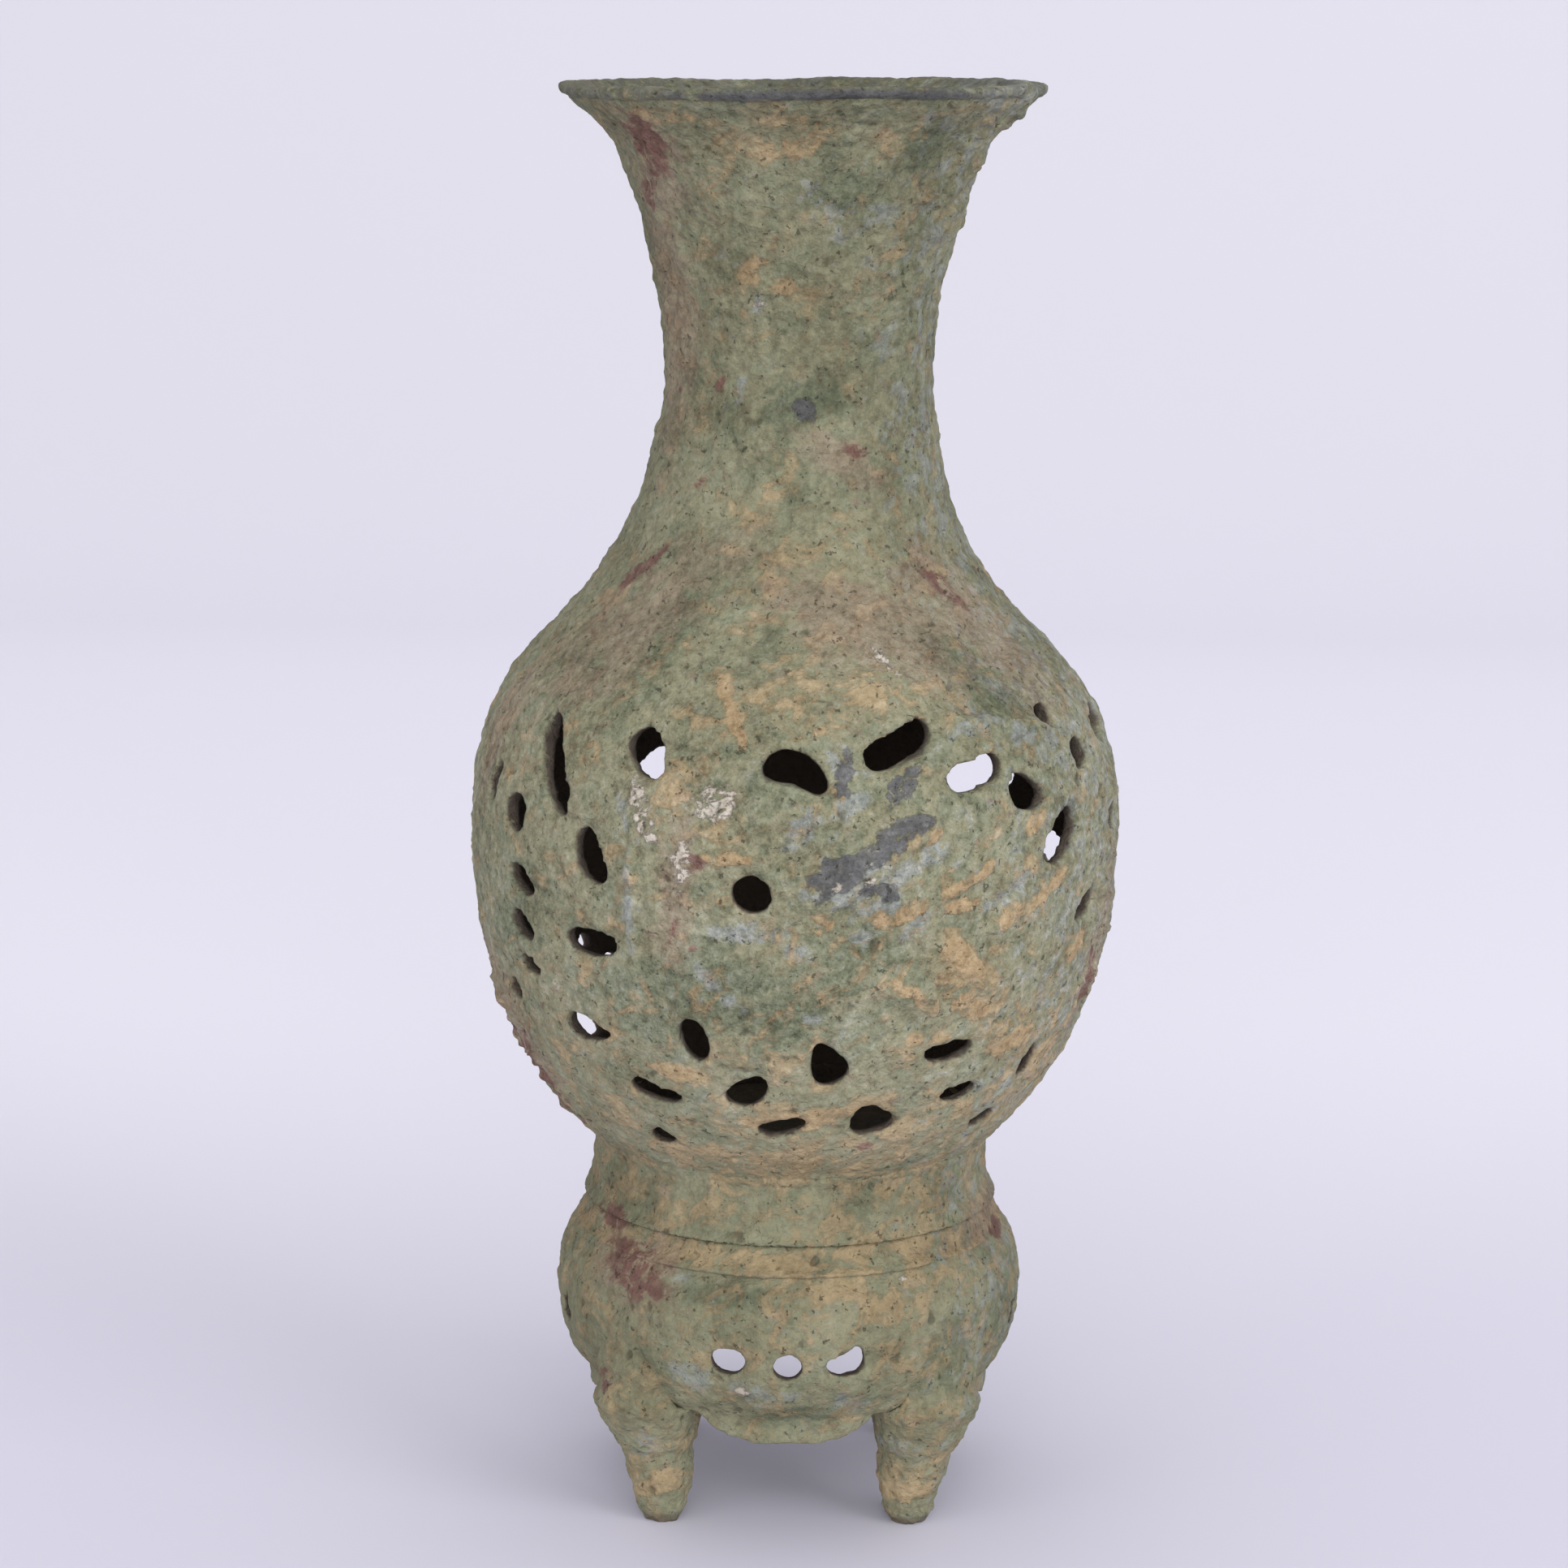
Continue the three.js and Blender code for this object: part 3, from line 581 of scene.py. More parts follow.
def patch_mask(points, patches, ragged, softness=PATCH_SOFTNESS):
    """1 in a patch, falling to 0 over its ragged edge."""
    bearing = bearings(points)
    radius = radii(points)
    mask = np.zeros(len(points))
    for at, level, length, width, tilt in patches:
        turn = np.mod(bearing - at + 180.0, 360.0) - 180.0
        across = np.radians(turn) * radius
        up = points[:, 2] - level
        lean = math.radians(tilt)
        along = math.cos(lean) * across + math.sin(lean) * up
        aside = math.cos(lean) * up - math.sin(lean) * across
        reach = np.hypot(along / (length / 2), aside / (width / 2)) + ragged
        mask = np.maximum(mask, fall_between(reach, 1.0 - softness, 1.0 + softness))
    return mask


def cast_relief(points, crustiness):
    """Height of the cast surface above the smooth shape: skin, crust and pits."""
    skin = field(points, *SKIN)
    crust = np.maximum(0.0, field(points, *CRUST)) * (THIN_CRUST + crustiness)
    pits = np.maximum(0.0, field(points, *PITS) - PIT_START)
    return skin + crust - pits


def settle(points):
    """Tilt and wave the mouth a little and lean the shoulder, as the casting does."""
    share = rise_between(points[:, 2], RIM_TOP - MOUTH_RISE, RIM_TOP)
    bearing = np.radians(bearings(points))
    tilt = MOUTH_TILT * points[:, 0] / MOUTH_RADIUS
    wave = sum(rise * np.sin(count * bearing + shift) for rise, count, shift in MOUTH_WAVES)
    points[:, 0] += np.interp(points[:, 2], LEAN_HEIGHTS, LEAN_SHIFTS)
    points[:, 2] += share * (tilt + wave)


# Materials


def srgb(red, green, blue):
    """A colour as seen on screen, from 0 to 255, as the linear colour that nodes use."""
    share = [value / 255.0 for value in (red, green, blue)]
    linear = [v / 12.92 if v <= 0.04045 else ((v + 0.055) / 1.055) ** 2.4 for v in share]
    return (*linear, 1.0)


# Colour sockets of the mix node
MIX_SHARE, MIX_UNDER, MIX_OVER = 0, 6, 7
MIX_RESULT = 2


class Finish:
    """A material with short ways to add the nodes that it needs."""

    def __init__(self, name):
        self.material = bpy.data.materials.new(name)
        self.material.use_nodes = True
        self.tree = self.material.node_tree
        self.surface = self.tree.nodes["Principled BSDF"]
        self.place = self.add("ShaderNodeTexCoord").outputs["Object"]

    def add(self, kind, **settings):
        node = self.tree.nodes.new(kind)
        for key, value in settings.items():
            setattr(node, key, value)
        return node

    def feed(self, socket, value):
        if isinstance(value, bpy.types.NodeSocket):
            self.tree.links.new(value, socket)
        else:
            socket.default_value = value

    def attribute(self, name):
        return self.add("ShaderNodeAttribute", attribute_name=name).outputs["Fac"]

    def calc(self, operation, first, second):
        node = self.add("ShaderNodeMath", operation=operation)
        self.feed(node.inputs[0], first)
        self.feed(node.inputs[1], second)
        return node.outputs[0]

    def total(self, *shares):
        """Sum of pairs of a value and its weight."""
        result = 0.0
        for value, weight in shares:
            result = self.calc("ADD", self.calc("MULTIPLY", value, weight), result)
        return result

    def stroked(self, lean, stretch, shift):
        """Place coordinates in which noise is drawn out a little along a leaning direction."""
        turn = self.add("ShaderNodeMapping", vector_type="TEXTURE")
        self.feed(turn.inputs["Vector"], self.place)
        turn.inputs["Location"].default_value = (shift, shift, shift)
        turn.inputs["Rotation"].default_value = (0.0, -math.radians(lean), 0.0)
        turn.inputs["Scale"].default_value = (stretch, 1.0, 1.0)
        return turn.outputs["Vector"]

    def texture(self, size, detail, roughness, distortion, gain, place=None):
        """Noise with spots of the given size, stretched about its middle so that it fills 0 to 1."""
        node = self.add("ShaderNodeTexNoise")
        self.feed(node.inputs["Vector"], place or self.place)
        node.inputs["Scale"].default_value = 1.0 / (size * MM)
        node.inputs["Detail"].default_value = detail
        node.inputs["Roughness"].default_value = roughness
        node.inputs["Distortion"].default_value = distortion
        stretched = self.add("ShaderNodeMapRange")
        self.feed(stretched.inputs["Value"], node.outputs["Fac"])
        stretched.inputs["From Min"].default_value = 0.5 - 0.5 / gain
        stretched.inputs["From Max"].default_value = 0.5 + 0.5 / gain
        return stretched.outputs["Result"]

    def step(self, value, low, high):
        """0 at low and 1 at high, with a smooth run between them."""
        node = self.add("ShaderNodeMapRange", interpolation_type="SMOOTHSTEP")
        self.feed(node.inputs["Value"], value)
        node.inputs["From Min"].default_value = low
        node.inputs["From Max"].default_value = high
        return node.outputs["Result"]

    def ramp(self, value, stops):
        node = self.add("ShaderNodeValToRGB")
        self.feed(node.inputs["Fac"], value)
        elements = node.color_ramp.elements
        while len(elements) < len(stops):
            elements.new(1.0)
        for element, (position, color) in zip(elements, stops):
            element.position = position
            element.color = color
        return node.outputs["Color"]

    def mix(self, share, under, over):
        node = self.add("ShaderNodeMix", data_type="RGBA")
        self.feed(node.inputs[MIX_SHARE], share)
        self.feed(node.inputs[MIX_UNDER], under)
        self.feed(node.inputs[MIX_OVER], over)
        return node.outputs[MIX_RESULT]


TONE_STOPS = (0.0, 0.3, 0.5, 0.7, 1.0)


def tones(*colors):
    """A ramp through five colours, from the grain's dark hollows to its pale points."""
    return [(stop, srgb(*color)) for stop, color in zip(TONE_STOPS, colors)]


OLIVE = tones((67, 66, 48), (114, 112, 88), (141, 139, 112), (159, 156, 130), (192, 188, 168))
GREEN = tones((56, 62, 46), (100, 106, 84), (127, 132, 108), (147, 151, 129), (184, 188, 172))
EARTH = tones((100, 82, 57), (146, 124, 92), (172, 149, 114), (189, 166, 131), (211, 192, 163))
BLUE_GREY = tones((79, 82, 78), (121, 125, 118), (146, 150, 142), (170, 172, 165), (213, 212, 205))
CREAM = tones((138, 124, 108), (178, 166, 150), (202, 192, 178), (219, 211, 199), (238, 233, 224))
RUST = tones((72, 55, 44), (121, 102, 87), (149, 129, 112), (167, 149, 132), (197, 184, 168))
CUPRITE = tones((62, 40, 35), (100, 71, 63), (123, 92, 83), (144, 115, 105), (174, 153, 142))
WORN_METAL = tones((62, 62, 61), (89, 89, 88), (105, 105, 104), (120, 120, 119), (172, 172, 170))
PIT_DIRT_AND_SHADE_BROWN = srgb(44, 40, 32)
SHADE_AND_CORROSION_BROWN = srgb(94, 84, 75)

# Layers over the olive ground: mark, tones, size of the spots, their lean, share, pull of the mark
# and how well the layer covers outside marked patches
LAYERS = [
    ("green", GREEN, 6.4, 30.0, 0.25, 0.36, 0.75),
    ("blue", BLUE_GREY, 3.4, 40.0, -0.05, 0.48, 0.55),
    ("earth", EARTH, 5.4, 28.0, 0.09, 0.58, 0.68),
    ("rust", RUST, 7.0, 10.0, 0.00, 1.20, 0.00),
    ("red", CUPRITE, 3.6, -20.0, -0.08, 0.64, 0.55),
    ("bare", WORN_METAL, 2.6, 32.0, -0.18, 0.78, 0.60),
    ("cream", CREAM, 1.6, 20.0, -0.14, 0.52, 0.50),
]
EDGE = 0.82  # reach at which a layer with no share begins
EDGE_SOFTNESS = 0.16
STRETCH = 1.4  # spots are this much longer along their lean
LAYER_SHIFT = 0.1  # metres from the noise of one layer to the noise of the next

# Textures of the patina: size of the spots, detail, roughness, distortion and gain
GRAIN = (2.0, 8.0, 0.78, 0.0, 2.4)
CLOUDS = (15.0, 6.0, 0.62, 0.0, 2.2)
PITTING = (1.5, 5.0, 0.65, 0.2, 3.0)
FINE_CRUST = (1.9, 3.0, 0.55, 0.3, 2.4)
SPOT_TEXTURE = (8.0, 0.70, 0.6, 3.0)  # of the layers, whose table has the sizes of the spots

# Lightness, which runs through the tones from 0 to 1: where it starts, and how much the clouds add
BASE_LIGHTNESS = 0.34
CLOUD_WEIGHT = 0.32

# Dark spots: values at which pits and hollows start and are full, and how dark they are; the hollows'
# darkening is painted shade with dirt in them
PIT_EDGE = (0.12, 0.04)
PIT_DARKNESS = 0.6
HOLLOW_EDGE = (-0.3, -1.0)
HOLLOW_DARKNESS = 0.5

# Gloss: grain adds to the roughness and bare metal takes some away
METAL_SHARE = 0.2
BASE_ROUGHNESS = 0.8
GRAIN_ROUGHNESS = 0.2
BARE_POLISH = 0.32
SPECULAR = 0.25

# Fine relief: height of the crust, and what the grain, the layers and the dark spots add to it
BUMP_HEIGHT = 0.6
GRAIN_BUMP = 0.3
LAYER_BUMPS = {"earth": 0.35, "cream": 0.4, "bare": -0.4}
DARK_BUMP = -0.6


def lightness(finish, grain):
    """Where each point lies in the tones, from the darkest at 0 to the palest at 1."""
    swing = finish.calc("SUBTRACT", grain, 0.5)
    swing = finish.calc("MULTIPLY", swing, finish.attribute("strength"))
    value = finish.calc("ADD", swing, BASE_LIGHTNESS)
    clouds = finish.texture(*CLOUDS)
    return finish.total((value, 1.0), (clouds, CLOUD_WEIGHT), (finish.attribute("tone"), 1.0))


def layer_cover(finish, index, layer, extra_share):
    """How well a layer covers what lies under it."""
    mark, _, size, lean, share, pull, cover = layer
    place = finish.stroked(lean, STRETCH, LAYER_SHIFT * index)
    spots = finish.texture(size, *SPOT_TEXTURE, place)
    marked = finish.attribute(mark)
    reach = finish.total((spots, 1.0), (marked, pull))
    edge = EDGE - share - extra_share
    spotted = finish.step(reach, edge - EDGE_SOFTNESS, edge + EDGE_SOFTNESS)
    veil = finish.calc("MULTIPLY", finish.attribute("veil"), cover)
    rest = finish.calc("MULTIPLY", marked, finish.calc("SUBTRACT", 1.0, veil))
    return finish.calc("MULTIPLY", spotted, finish.calc("ADD", rest, veil))


def dark_spots(finish):
    """Pits in the surface, and hollows of the casting darkened as painted shade with dirt in them."""
    pits = finish.step(finish.texture(*PITTING), *PIT_EDGE)
    hollows = finish.step(finish.attribute("rise"), *HOLLOW_EDGE)
    pits = finish.calc("MULTIPLY", pits, PIT_DARKNESS)
    return finish.calc("MAXIMUM", pits, finish.calc("MULTIPLY", hollows, HOLLOW_DARKNESS))


def set_gloss(finish, grain, bare):
    inputs = finish.surface.inputs
    finish.feed(inputs["Metallic"], finish.calc("MULTIPLY", bare, METAL_SHARE))
    rough = finish.total((grain, GRAIN_ROUGHNESS), (bare, -BARE_POLISH), (BASE_ROUGHNESS, 1.0))
    finish.feed(inputs["Roughness"], rough)
    inputs["Specular IOR Level"].default_value = SPECULAR


def set_bump(finish, grain, covers, dark):
    bump = finish.add("ShaderNodeBump")
    bump.inputs["Strength"].default_value = 1.0
    bump.inputs["Distance"].default_value = BUMP_HEIGHT * MM
    crust = finish.texture(*FINE_CRUST)
    layered = finish.total(*((covers[mark], weight) for mark, weight in LAYER_BUMPS.items()))
    height = finish.total((crust, 1.0), (grain, GRAIN_BUMP), (layered, 1.0), (dark, DARK_BUMP))
    finish.feed(bump.inputs["Height"], height)
    finish.feed(finish.surface.inputs["Normal"], bump.outputs["Normal"])


def patina(name, extra_shares):
    """Excavated bronze: a fine mix of olive, green, earth, cuprite, pale crust and worn metal."""
    finish = Finish(name)
    grain = finish.texture(*GRAIN)
    value = lightness(finish, grain)
    color = finish.ramp(value, OLIVE)
    covers = {}
    for index, layer in enumerate(LAYERS):
        mark, layer_tones = layer[:2]
        covers[mark] = layer_cover(finish, index, layer, extra_shares.get(mark, 0.0))
        color = finish.mix(covers[mark], color, finish.ramp(value, layer_tones))
    dark = dark_spots(finish)
    # pits, and hollows darkened: painted shade with dirt in them
    color = finish.mix(dark, color, PIT_DIRT_AND_SHADE_BROWN)
    # dark brown inside the vase and on the walls of its piercings: painted shade with dark corrosion
    color = finish.mix(finish.attribute("shade_and_corrosion"), color, SHADE_AND_CORROSION_BROWN)
    finish.feed(finish.surface.inputs["Base Color"], color)
    set_gloss(finish, grain, covers["bare"])
    set_bump(finish, grain, covers, dark)
    return finish.material


FINISHES = {
    "green_patina": patina("green_patina", {}),
    "earthy_patina": patina("earthy_patina", {"earth": 0.06}),
    "bare_bronze": patina("bare_bronze", {"earth": -0.1, "blue": 0.2, "bare": 0.50}),
}
SLOTS = {row["node"]: row["material_slot"] for row in frame["record"]["subparts"]}
BODIES = {node: body for body, nodes in frame["record"]["behaviour"]["bodies"].items() for node in nodes}
TURNED = [node for node in SLOTS if not node.startswith("leg_")]
PIERCED = ("pierced_body", "stand_bowl")
HIDDEN = ("base_plate", "seat_ring")


# Pieces


def add_knee(shape, node):
    """Add the swelling that runs a knee into the drum to a leg."""
    low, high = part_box(node)
    side = Vector(((low.x + high.x) / 2, (low.y + high.y) / 2, 0.0)).normalized()
    turn = Matrix.Rotation(math.atan2(side.y, side.x), 4, "Z")
    place = Matrix.Translation(side * KNEE_REACH * MM + Vector((0.0, 0.0, KNEE_HEIGHT * MM)))
    sizes = Matrix.Diagonal((*(half * MM for half in KNEE_HALF_SIZES), 1.0))
    matrix = place @ turn @ sizes
    bmesh.ops.create_icosphere(shape, subdivisions=KNEE_FINENESS, radius=1.0, matrix=matrix)


def seam_section(seam_radius, seam_level, thickness, bearing):
    """Points round an uneven ring's section at one bearing, in metres."""
    way = (SEAM_WAVES * math.sin(bearing), SEAM_WAVES * math.cos(bearing), SEAM_SHIFT * seam_level)
    reach = thickness * (1.0 - SEAM_UNEVENNESS + SEAM_UNEVENNESS * noise.noise(way))
    points = []
    for i in range(SEAM_SECTION_SIDES):
        turn = 2 * math.pi * i / SEAM_SECTION_SIDES
        radius = seam_radius + reach * math.cos(turn)
        level = seam_level + reach * math.sin(turn)
        points.append(Vector((radius * math.sin(bearing), -radius * math.cos(bearing), level)) * MM)
    return points


def add_seam_ring(shape, seam_radius, seam_level, thickness):
    """Add an uneven ring of crust that closes the seam between two castings."""
    sections = []
    for i in range(SEAM_SIDES):
        bearing = 2 * math.pi * i / SEAM_SIDES
        points = seam_section(seam_radius, seam_level, thickness, bearing)
        sections.append([shape.verts.new(point) for point in points])
    for i in range(SEAM_SIDES):
        here, there = sections[i - 1], sections[i]
        for j in range(SEAM_SECTION_SIDES):
            shape.faces.new((here[j - 1], there[j - 1], there[j], here[j]))


def add_joining(piece, node):
    """Add the shapes that run a piece into its neighbour."""
    shape = bmesh.new()
    shape.from_mesh(piece.data)
    for owner, radius, level, thickness in SEAMS:
        if owner == node:
            add_seam_ring(shape, radius, level, thickness)
    if node not in TURNED:
        add_knee(shape, node)
    shape.to_mesh(piece.data)
    shape.free()


def draw_in(points):
    """Taper a leg towards the middle of its sole."""
    sole = points[points[:, 2] < SOLE_HEIGHT, :2].mean(axis=0)
    top, bottom = LEG_TAPER_HEIGHTS
    share = LEG_TAPER * fall_between(points[:, 2], bottom, top)
    points[:, :2] += (sole - points[:, :2]) * share[:, None]


def flare(points, outside):
    """Run the outside of the neck out to the edge of the lip, and lap both ends into their neighbours."""
    height = points[:, 2].copy()
    share = outside * rise_between(height, NECK_TOP - FLARE_RISE, NECK_TOP)
    points[:, :2] *= (1.0 + FLARE_REACH * share / radii(points))[:, None]
    points[:, 2] += LAP_REACH * rise_between(height, NECK_TOP - LAP_RISE, NECK_TOP)
    points[:, 2] -= LAP_REACH * fall_between(height, NECK_JOINT, NECK_JOINT + LAP_RISE)


def swell_line(points):
    """Swell the stand's raised line into a rounded bead, outside the foot."""
    share = rise_between(points[:, 2], *BEAD_BOTTOM)
    share *= fall_between(points[:, 2], *BEAD_TOP)
    share *= rise_between(radii(points), *BEAD_SKIN)
    share *= fall_between(np.abs(bearings(points)), *BEAD_BEARINGS)
    points[:, :2] *= (1.0 + BEAD_RISE * share / radii(points))[:, None]


def spread_foot(points):
    """Flare the outside of the foot over the stand's raised line."""
    above = points[:, 2] - COLLAR_TOP - SKIRT_GAP
    share = np.where(above > 0.0, np.clip(1.0 - above / SKIRT_RISE, 0.0, 1.0) ** 2, 0.0)
    share *= rise_between(radii(points), *SKIRT_RADII)
    points[:, :2] *= (1.0 + SKIRT_REACH * share / radii(points))[:, None]


def reshaped(mesh, node):
    """The mesh's points, moved to the forms that the solid leaves out."""
    points = read_points(mesh)
    if node in TURNED:
        points = made_round(points)
    else:
        draw_in(points)
    if node == "neck":
        flare(points, 1.0 - inside_share(mesh, node))
    if node == "stand_collar":
        swell_line(points)
    if node == "foot_ring":
        spread_foot(points)
    return points


def shown_share(node, points):
    """1 where a piece shows, 0 where it fits into its neighbour and stays smooth."""
    height = points[:, 2]
    if node == "foot_ring":
        return rise_between(height, COLLAR_TOP + SKIRT_GAP, COLLAR_TOP + SKIRT_GAP + SKIRT_FADE)
    if node == "stand_collar":
        outside = rise_between(radii(points), *COLLAR_SKIN)
        return outside * rise_between(height, DRUM_TOP, DRUM_TOP + COLLAR_FADE)
    if node == "stand_bowl":
        return fall_between(height, DRUM_TOP - DRUM_FADE, DRUM_TOP)
    if node in HIDDEN:
        return np.full(len(points), HIDDEN_ROUGHNESS)
    return np.ones(len(points))


def roughen(mesh, node, roughness):
    """Turn a piece's smooth surface into a cast, crusted one."""
    points = reshaped(mesh, node)
    write_points(mesh, points)
    exposed = shown_share(node, points) * (1.0 - INSIDE_SMOOTHNESS * inside_share(mesh, node))
    crustiness = patch_mask(points, CRUST_PATCHES, field(points, *CRUST_EDGE))
    relief = field(points, *LUMPS) + cast_relief(points, crustiness)
    if node == "pierced_body":
        relief += STROKE_RISE * patch_mask(points, RELIEF_STROKES, field(points, *STROKE_EDGE))
    points += read_normals(mesh) * (relief * exposed * roughness)[:, None]
    points[:, 2] = np.maximum(points[:, 2], 0.0)
    write_points(mesh, points)


def darkness(mesh, node, points):
    """1 where a piece is as dark as the inside of the vase, which is painted shade with dark corrosion;
    the soles darken towards the floor; 0 on its outside.
    """
    if node in HIDDEN:
        return np.full(len(points), HIDDEN_DARKNESS)
    shade_and_corrosion = inside_share(mesh, node) * rise_between(RIM_TOP - points[:, 2], *MOUTH_DEPTHS)
    dark = np.maximum(shade_and_corrosion, SOLE_DARKNESS * fall_between(points[:, 2], *SOLE_HEIGHTS))
    if node == "foot_ring":
        dark = np.maximum(dark, fall_between(radii(points), *FOOT_SHOWN_RADII))
    return dark


def low_earth(height):
    """Share of earth on the lower part, and on the ledge of the raised line."""
    ledge = rise_between(height, *LEDGE_BOTTOM)
    ledge *= fall_between(height, *LEDGE_TOP)
    return np.interp(height, EARTH_HEIGHTS, EARTH_SHARES), LEDGE_EARTH * ledge


# Painted light: blue-grey on the right side, standing for the cooler light that falls there
def painted_cool_light(points):
    bearing = bearings(points)
    return PAINTED_COOL_LIGHT_SHARE * rise_between(bearing, *COOL_START) * fall_between(bearing, *COOL_END)


def mark_surface(mesh, node):
    """Write the numbers that the finish reads at each vertex."""
    points = read_points(mesh)
    height = points[:, 2]
    ragged = field(points, *PATCH_EDGE)
    clear = np.interp(height, PATCH_HEIGHTS, PATCH_STRENGTHS)
    tan = TAN_SHARE * patch_mask(points, TAN_WASHES, ragged, WASH_SOFTNESS)
    green = patch_mask(points, GREEN_WASHES, ragged, WASH_SOFTNESS)
    strokes = clear * patch_mask(points, EARTH_PATCHES, ragged, EARTH_SOFTNESS)
    flakes = clear * patch_mask(points, BLUE_PATCHES, ragged, FLAKE_SOFTNESS)
    low, ledge = low_earth(height)
    tone = np.interp(height, TONE_HEIGHTS, TONES)
    marks = {
        "shade_and_corrosion": darkness(mesh, node, points),
        "earth": np.maximum(strokes, np.maximum(ledge, low + tan)),
        "green": GREEN_SHARE * green - tan,
        "rust": RUST_SHARE * patch_mask(points, RUST_WASHES, ragged, RUST_SOFTNESS),
        "red": RED_SHARE * patch_mask(points, RED_PATCHES, ragged, FLAKE_SOFTNESS),
        "bare": patch_mask(points, BARE_PATCHES, ragged),
        # blue-grey flakes of patina, with painted cool light on the right side
        "blue": np.maximum(flakes, painted_cool_light(points)),
        "cream": patch_mask(points, CREAM_PATCHES, ragged),
        "tone": tone - GREEN_DARKENING * green + TAN_LIGHTENING * tan,
        "veil": np.interp(height, VEIL_HEIGHTS, VEILS),
        "strength": np.interp(height, STRENGTH_HEIGHTS, STRENGTHS),
        "rise": np.clip(cast_relief(points, 0.0) / FULL_RELIEF, -1.0, 1.0),
    }
    for name, values in marks.items():
        write_attribute(mesh, name, values)


def finish_piece(piece, node):
    piece.data.materials.append(FINISHES[SLOTS[node]])
    for face in piece.data.polygons:
        face.use_smooth = True
    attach(piece, BODIES[node])
    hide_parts(node)


def dress(node, voxel, softening=4, roughness=1.0):
    """Make the visible piece of a node: its solid with a cast, crusted surface and its finish."""
    piece = node_copy(node)
    add_joining(piece, node)
    remesh(piece, voxel, softening)
    roughen(piece.data, node, roughness)
    thin_out(piece)
    mark_surface(piece.data, node)
    if BODIES[node] == "vase":
        points = read_points(piece.data)
        settle(points)
        write_points(piece.data, points)
    finish_piece(piece, node)


# Each piece with the fineness of its mesh in millimetres, its steps of softening and its roughness
dress("lip_ring", voxel=0.55, softening=3, roughness=0.7)
dress("neck", voxel=0.65)
dress("pierced_body", voxel=0.84, softening=3)
dress("base_plate", voxel=1.2)
dress("foot_ring", voxel=0.65)
dress("stand_collar", voxel=0.5, softening=5, roughness=0.6)
dress("seat_ring", voxel=1.0)
dress("stand_bowl", voxel=0.62)
for corner in ("front_left", "front_right", "rear_left", "rear_right"):
    dress("leg_" + corner, voxel=0.5, softening=10, roughness=1.3)


# Studio, in metres

# Paint of the backdrop, with painted light and shade: the near floor darker as painted shade against the
# lamps, the bend palest as a painted pool of light
NEAR_PAINTED_SHADE = srgb(172, 170, 181)
FLOOR_PAINT = srgb(218, 216, 230)
BEND_PAINTED_LIGHT = srgb(236, 234, 244)
WALL_PAINT = srgb(217, 215, 224)
# Stretches of Y over which the floor's paint runs into the others
NEAR_STRETCH = (-0.35, -1.3)
BEND_STRETCH = (-0.02, 0.4)
WALL_STRETCH = (0.9, 1.6)
PAINT_ROUGHNESS = 0.9

# Backdrop: half its width, its front edge, the start and radius of its bend, and the top of its wall
SWEEP_HALF_WIDTH = 3.0
SWEEP_FRONT = -2.5
SWEEP_BEND = 1.1
BEND_RADIUS = 0.5
BEND_POINTS = 17
WALL_TOP = 2.6

# Lamps: name, place, size and power
LAMPS = [
    ("key", (2.25, -1.8, 1.15), 2.1, 36.0),
    ("fill", (-1.95, -1.95, 0.85), 2.1, 12.0),
    ("front", (0.0, -2.85, 0.85), 2.5, 40.0),
    ("top", (0.0, 0.3, 2.5), 1.8, 6.8),
]
LAMP_AIM = (0.0, 0.0, 0.14)
SKY_COLOR = (0.97, 0.97, 1.0, 1.0)
SKY_STRENGTH = 0.64


def sweep_paint_with_painted_light():
    """Pale paint with painted light and shade: palest at the bend behind the vase as a painted pool of
    light, darker up the wall, and darker near the front as painted shade under the lamps.
    """
    finish = Finish("sweep_paint_with_painted_light")
    place = finish.add("ShaderNodeSeparateXYZ")
    finish.feed(place.inputs["Vector"], finish.place)
    depth = place.outputs["Y"]
    color = finish.mix(finish.step(depth, *NEAR_STRETCH), FLOOR_PAINT, NEAR_PAINTED_SHADE)
    color = finish.mix(finish.step(depth, *BEND_STRETCH), color, BEND_PAINTED_LIGHT)
    color = finish.mix(finish.step(depth, *WALL_STRETCH), color, WALL_PAINT)
    finish.feed(finish.surface.inputs["Base Color"], color)
    finish.surface.inputs["Roughness"].default_value = PAINT_ROUGHNESS
    return finish.material


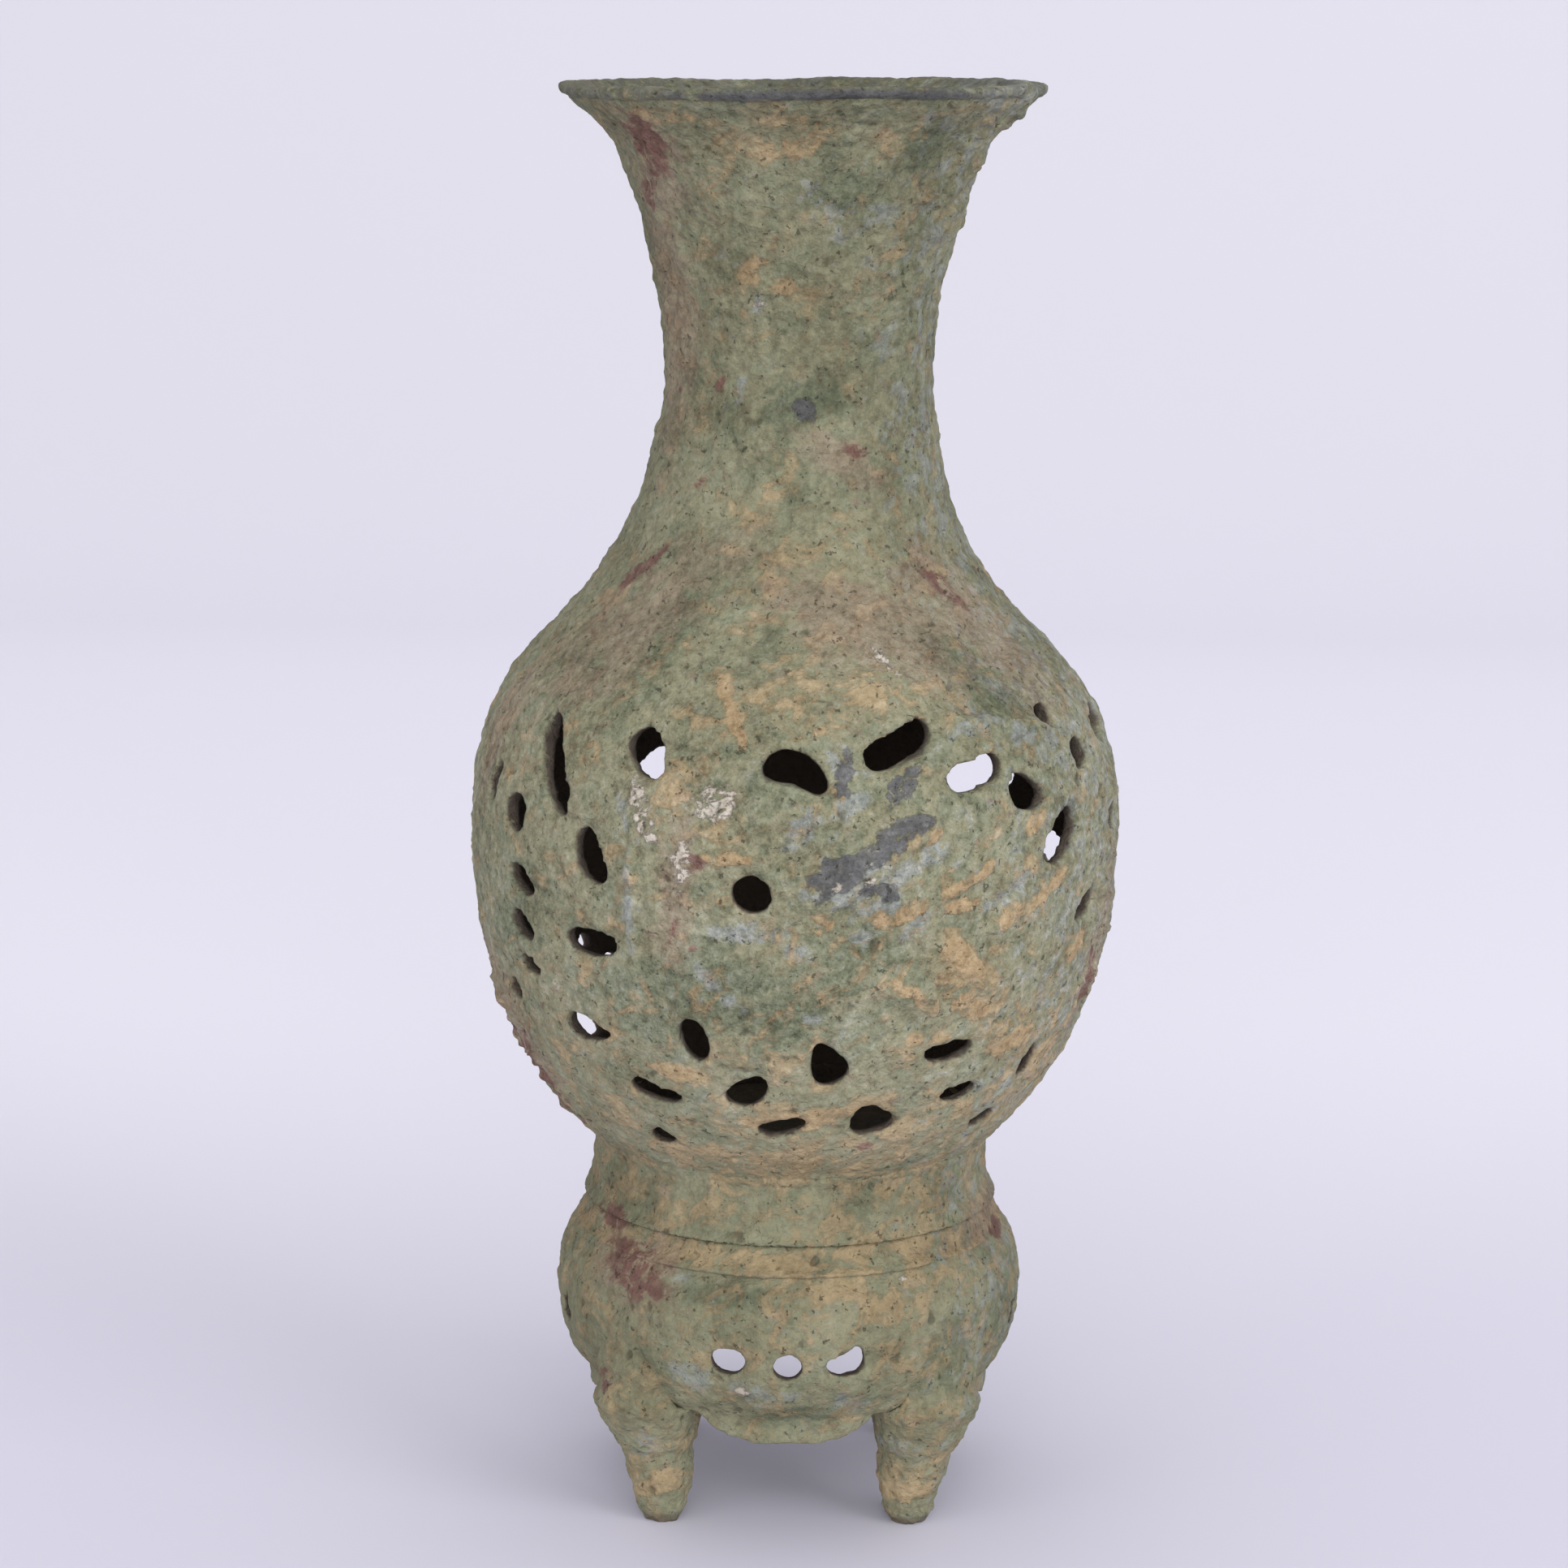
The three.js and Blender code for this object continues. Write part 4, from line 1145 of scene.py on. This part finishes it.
def sweep_outline():
    """Points of the backdrop seen from the side, as pairs of Y and Z."""
    outline = [(SWEEP_FRONT, 0.0)]
    for turn in np.linspace(0, math.pi / 2, BEND_POINTS):
        rise = BEND_RADIUS - BEND_RADIUS * math.cos(turn)
        outline.append((SWEEP_BEND + BEND_RADIUS * math.sin(turn), rise))
    outline.append((SWEEP_BEND + BEND_RADIUS, WALL_TOP))
    return outline


def backdrop():
    """A floor that sweeps up into a wall behind the vase."""
    outline = sweep_outline()
    vertices = [(x, y, z) for y, z in outline for x in (-SWEEP_HALF_WIDTH, SWEEP_HALF_WIDTH)]
    faces = [(2 * i, 2 * i + 1, 2 * i + 3, 2 * i + 2) for i in range(len(outline) - 1)]
    mesh = bpy.data.meshes.new("sweep")
    mesh.from_pydata(vertices, [], faces)
    sweep = bpy.data.objects.new("sweep", mesh)
    bpy.context.scene.collection.objects.link(sweep)
    mesh.materials.append(sweep_paint_with_painted_light())
    for face in mesh.polygons:
        face.use_smooth = True


def soft_light(name, place, size, power):
    lamp = bpy.data.lights.new(name, "AREA")
    lamp.shape = "DISK"
    lamp.size = size
    lamp.energy = power
    light = bpy.data.objects.new(name, lamp)
    light.location = place
    light.rotation_euler = (Vector(LAMP_AIM) - Vector(place)).to_track_quat("-Z", "Y").to_euler()
    bpy.context.scene.collection.objects.link(light)


def studio():
    world = bpy.data.worlds.new("studio")
    world.use_nodes = True
    sky = world.node_tree.nodes["Background"]
    sky.inputs["Color"].default_value = SKY_COLOR
    sky.inputs["Strength"].default_value = SKY_STRENGTH
    bpy.context.scene.world = world
    for lamp in LAMPS:
        soft_light(*lamp)
    backdrop()


def camera():
    lens = bpy.data.cameras.new("camera")
    lens.sensor_width = SENSOR
    lens.sensor_height = SENSOR
    lens.lens = SENSOR * FOCAL_PIXELS / IMAGE
    lens.shift_x = -AXIS_OFFSET_PIXELS / IMAGE
    eye = bpy.data.objects.new("camera", lens)
    dip = Matrix.Rotation(math.radians(90.0 - CAMERA_DIP), 4, "X")
    roll = Matrix.Rotation(math.radians(CAMERA_ROLL), 4, "Z")
    eye.matrix_world = Matrix.Translation(CAMERA_PLACE) @ dip @ roll
    bpy.context.scene.collection.objects.link(eye)
    bpy.context.scene.camera = eye


studio()
camera()
bpy.context.scene.view_settings.view_transform = "Standard"
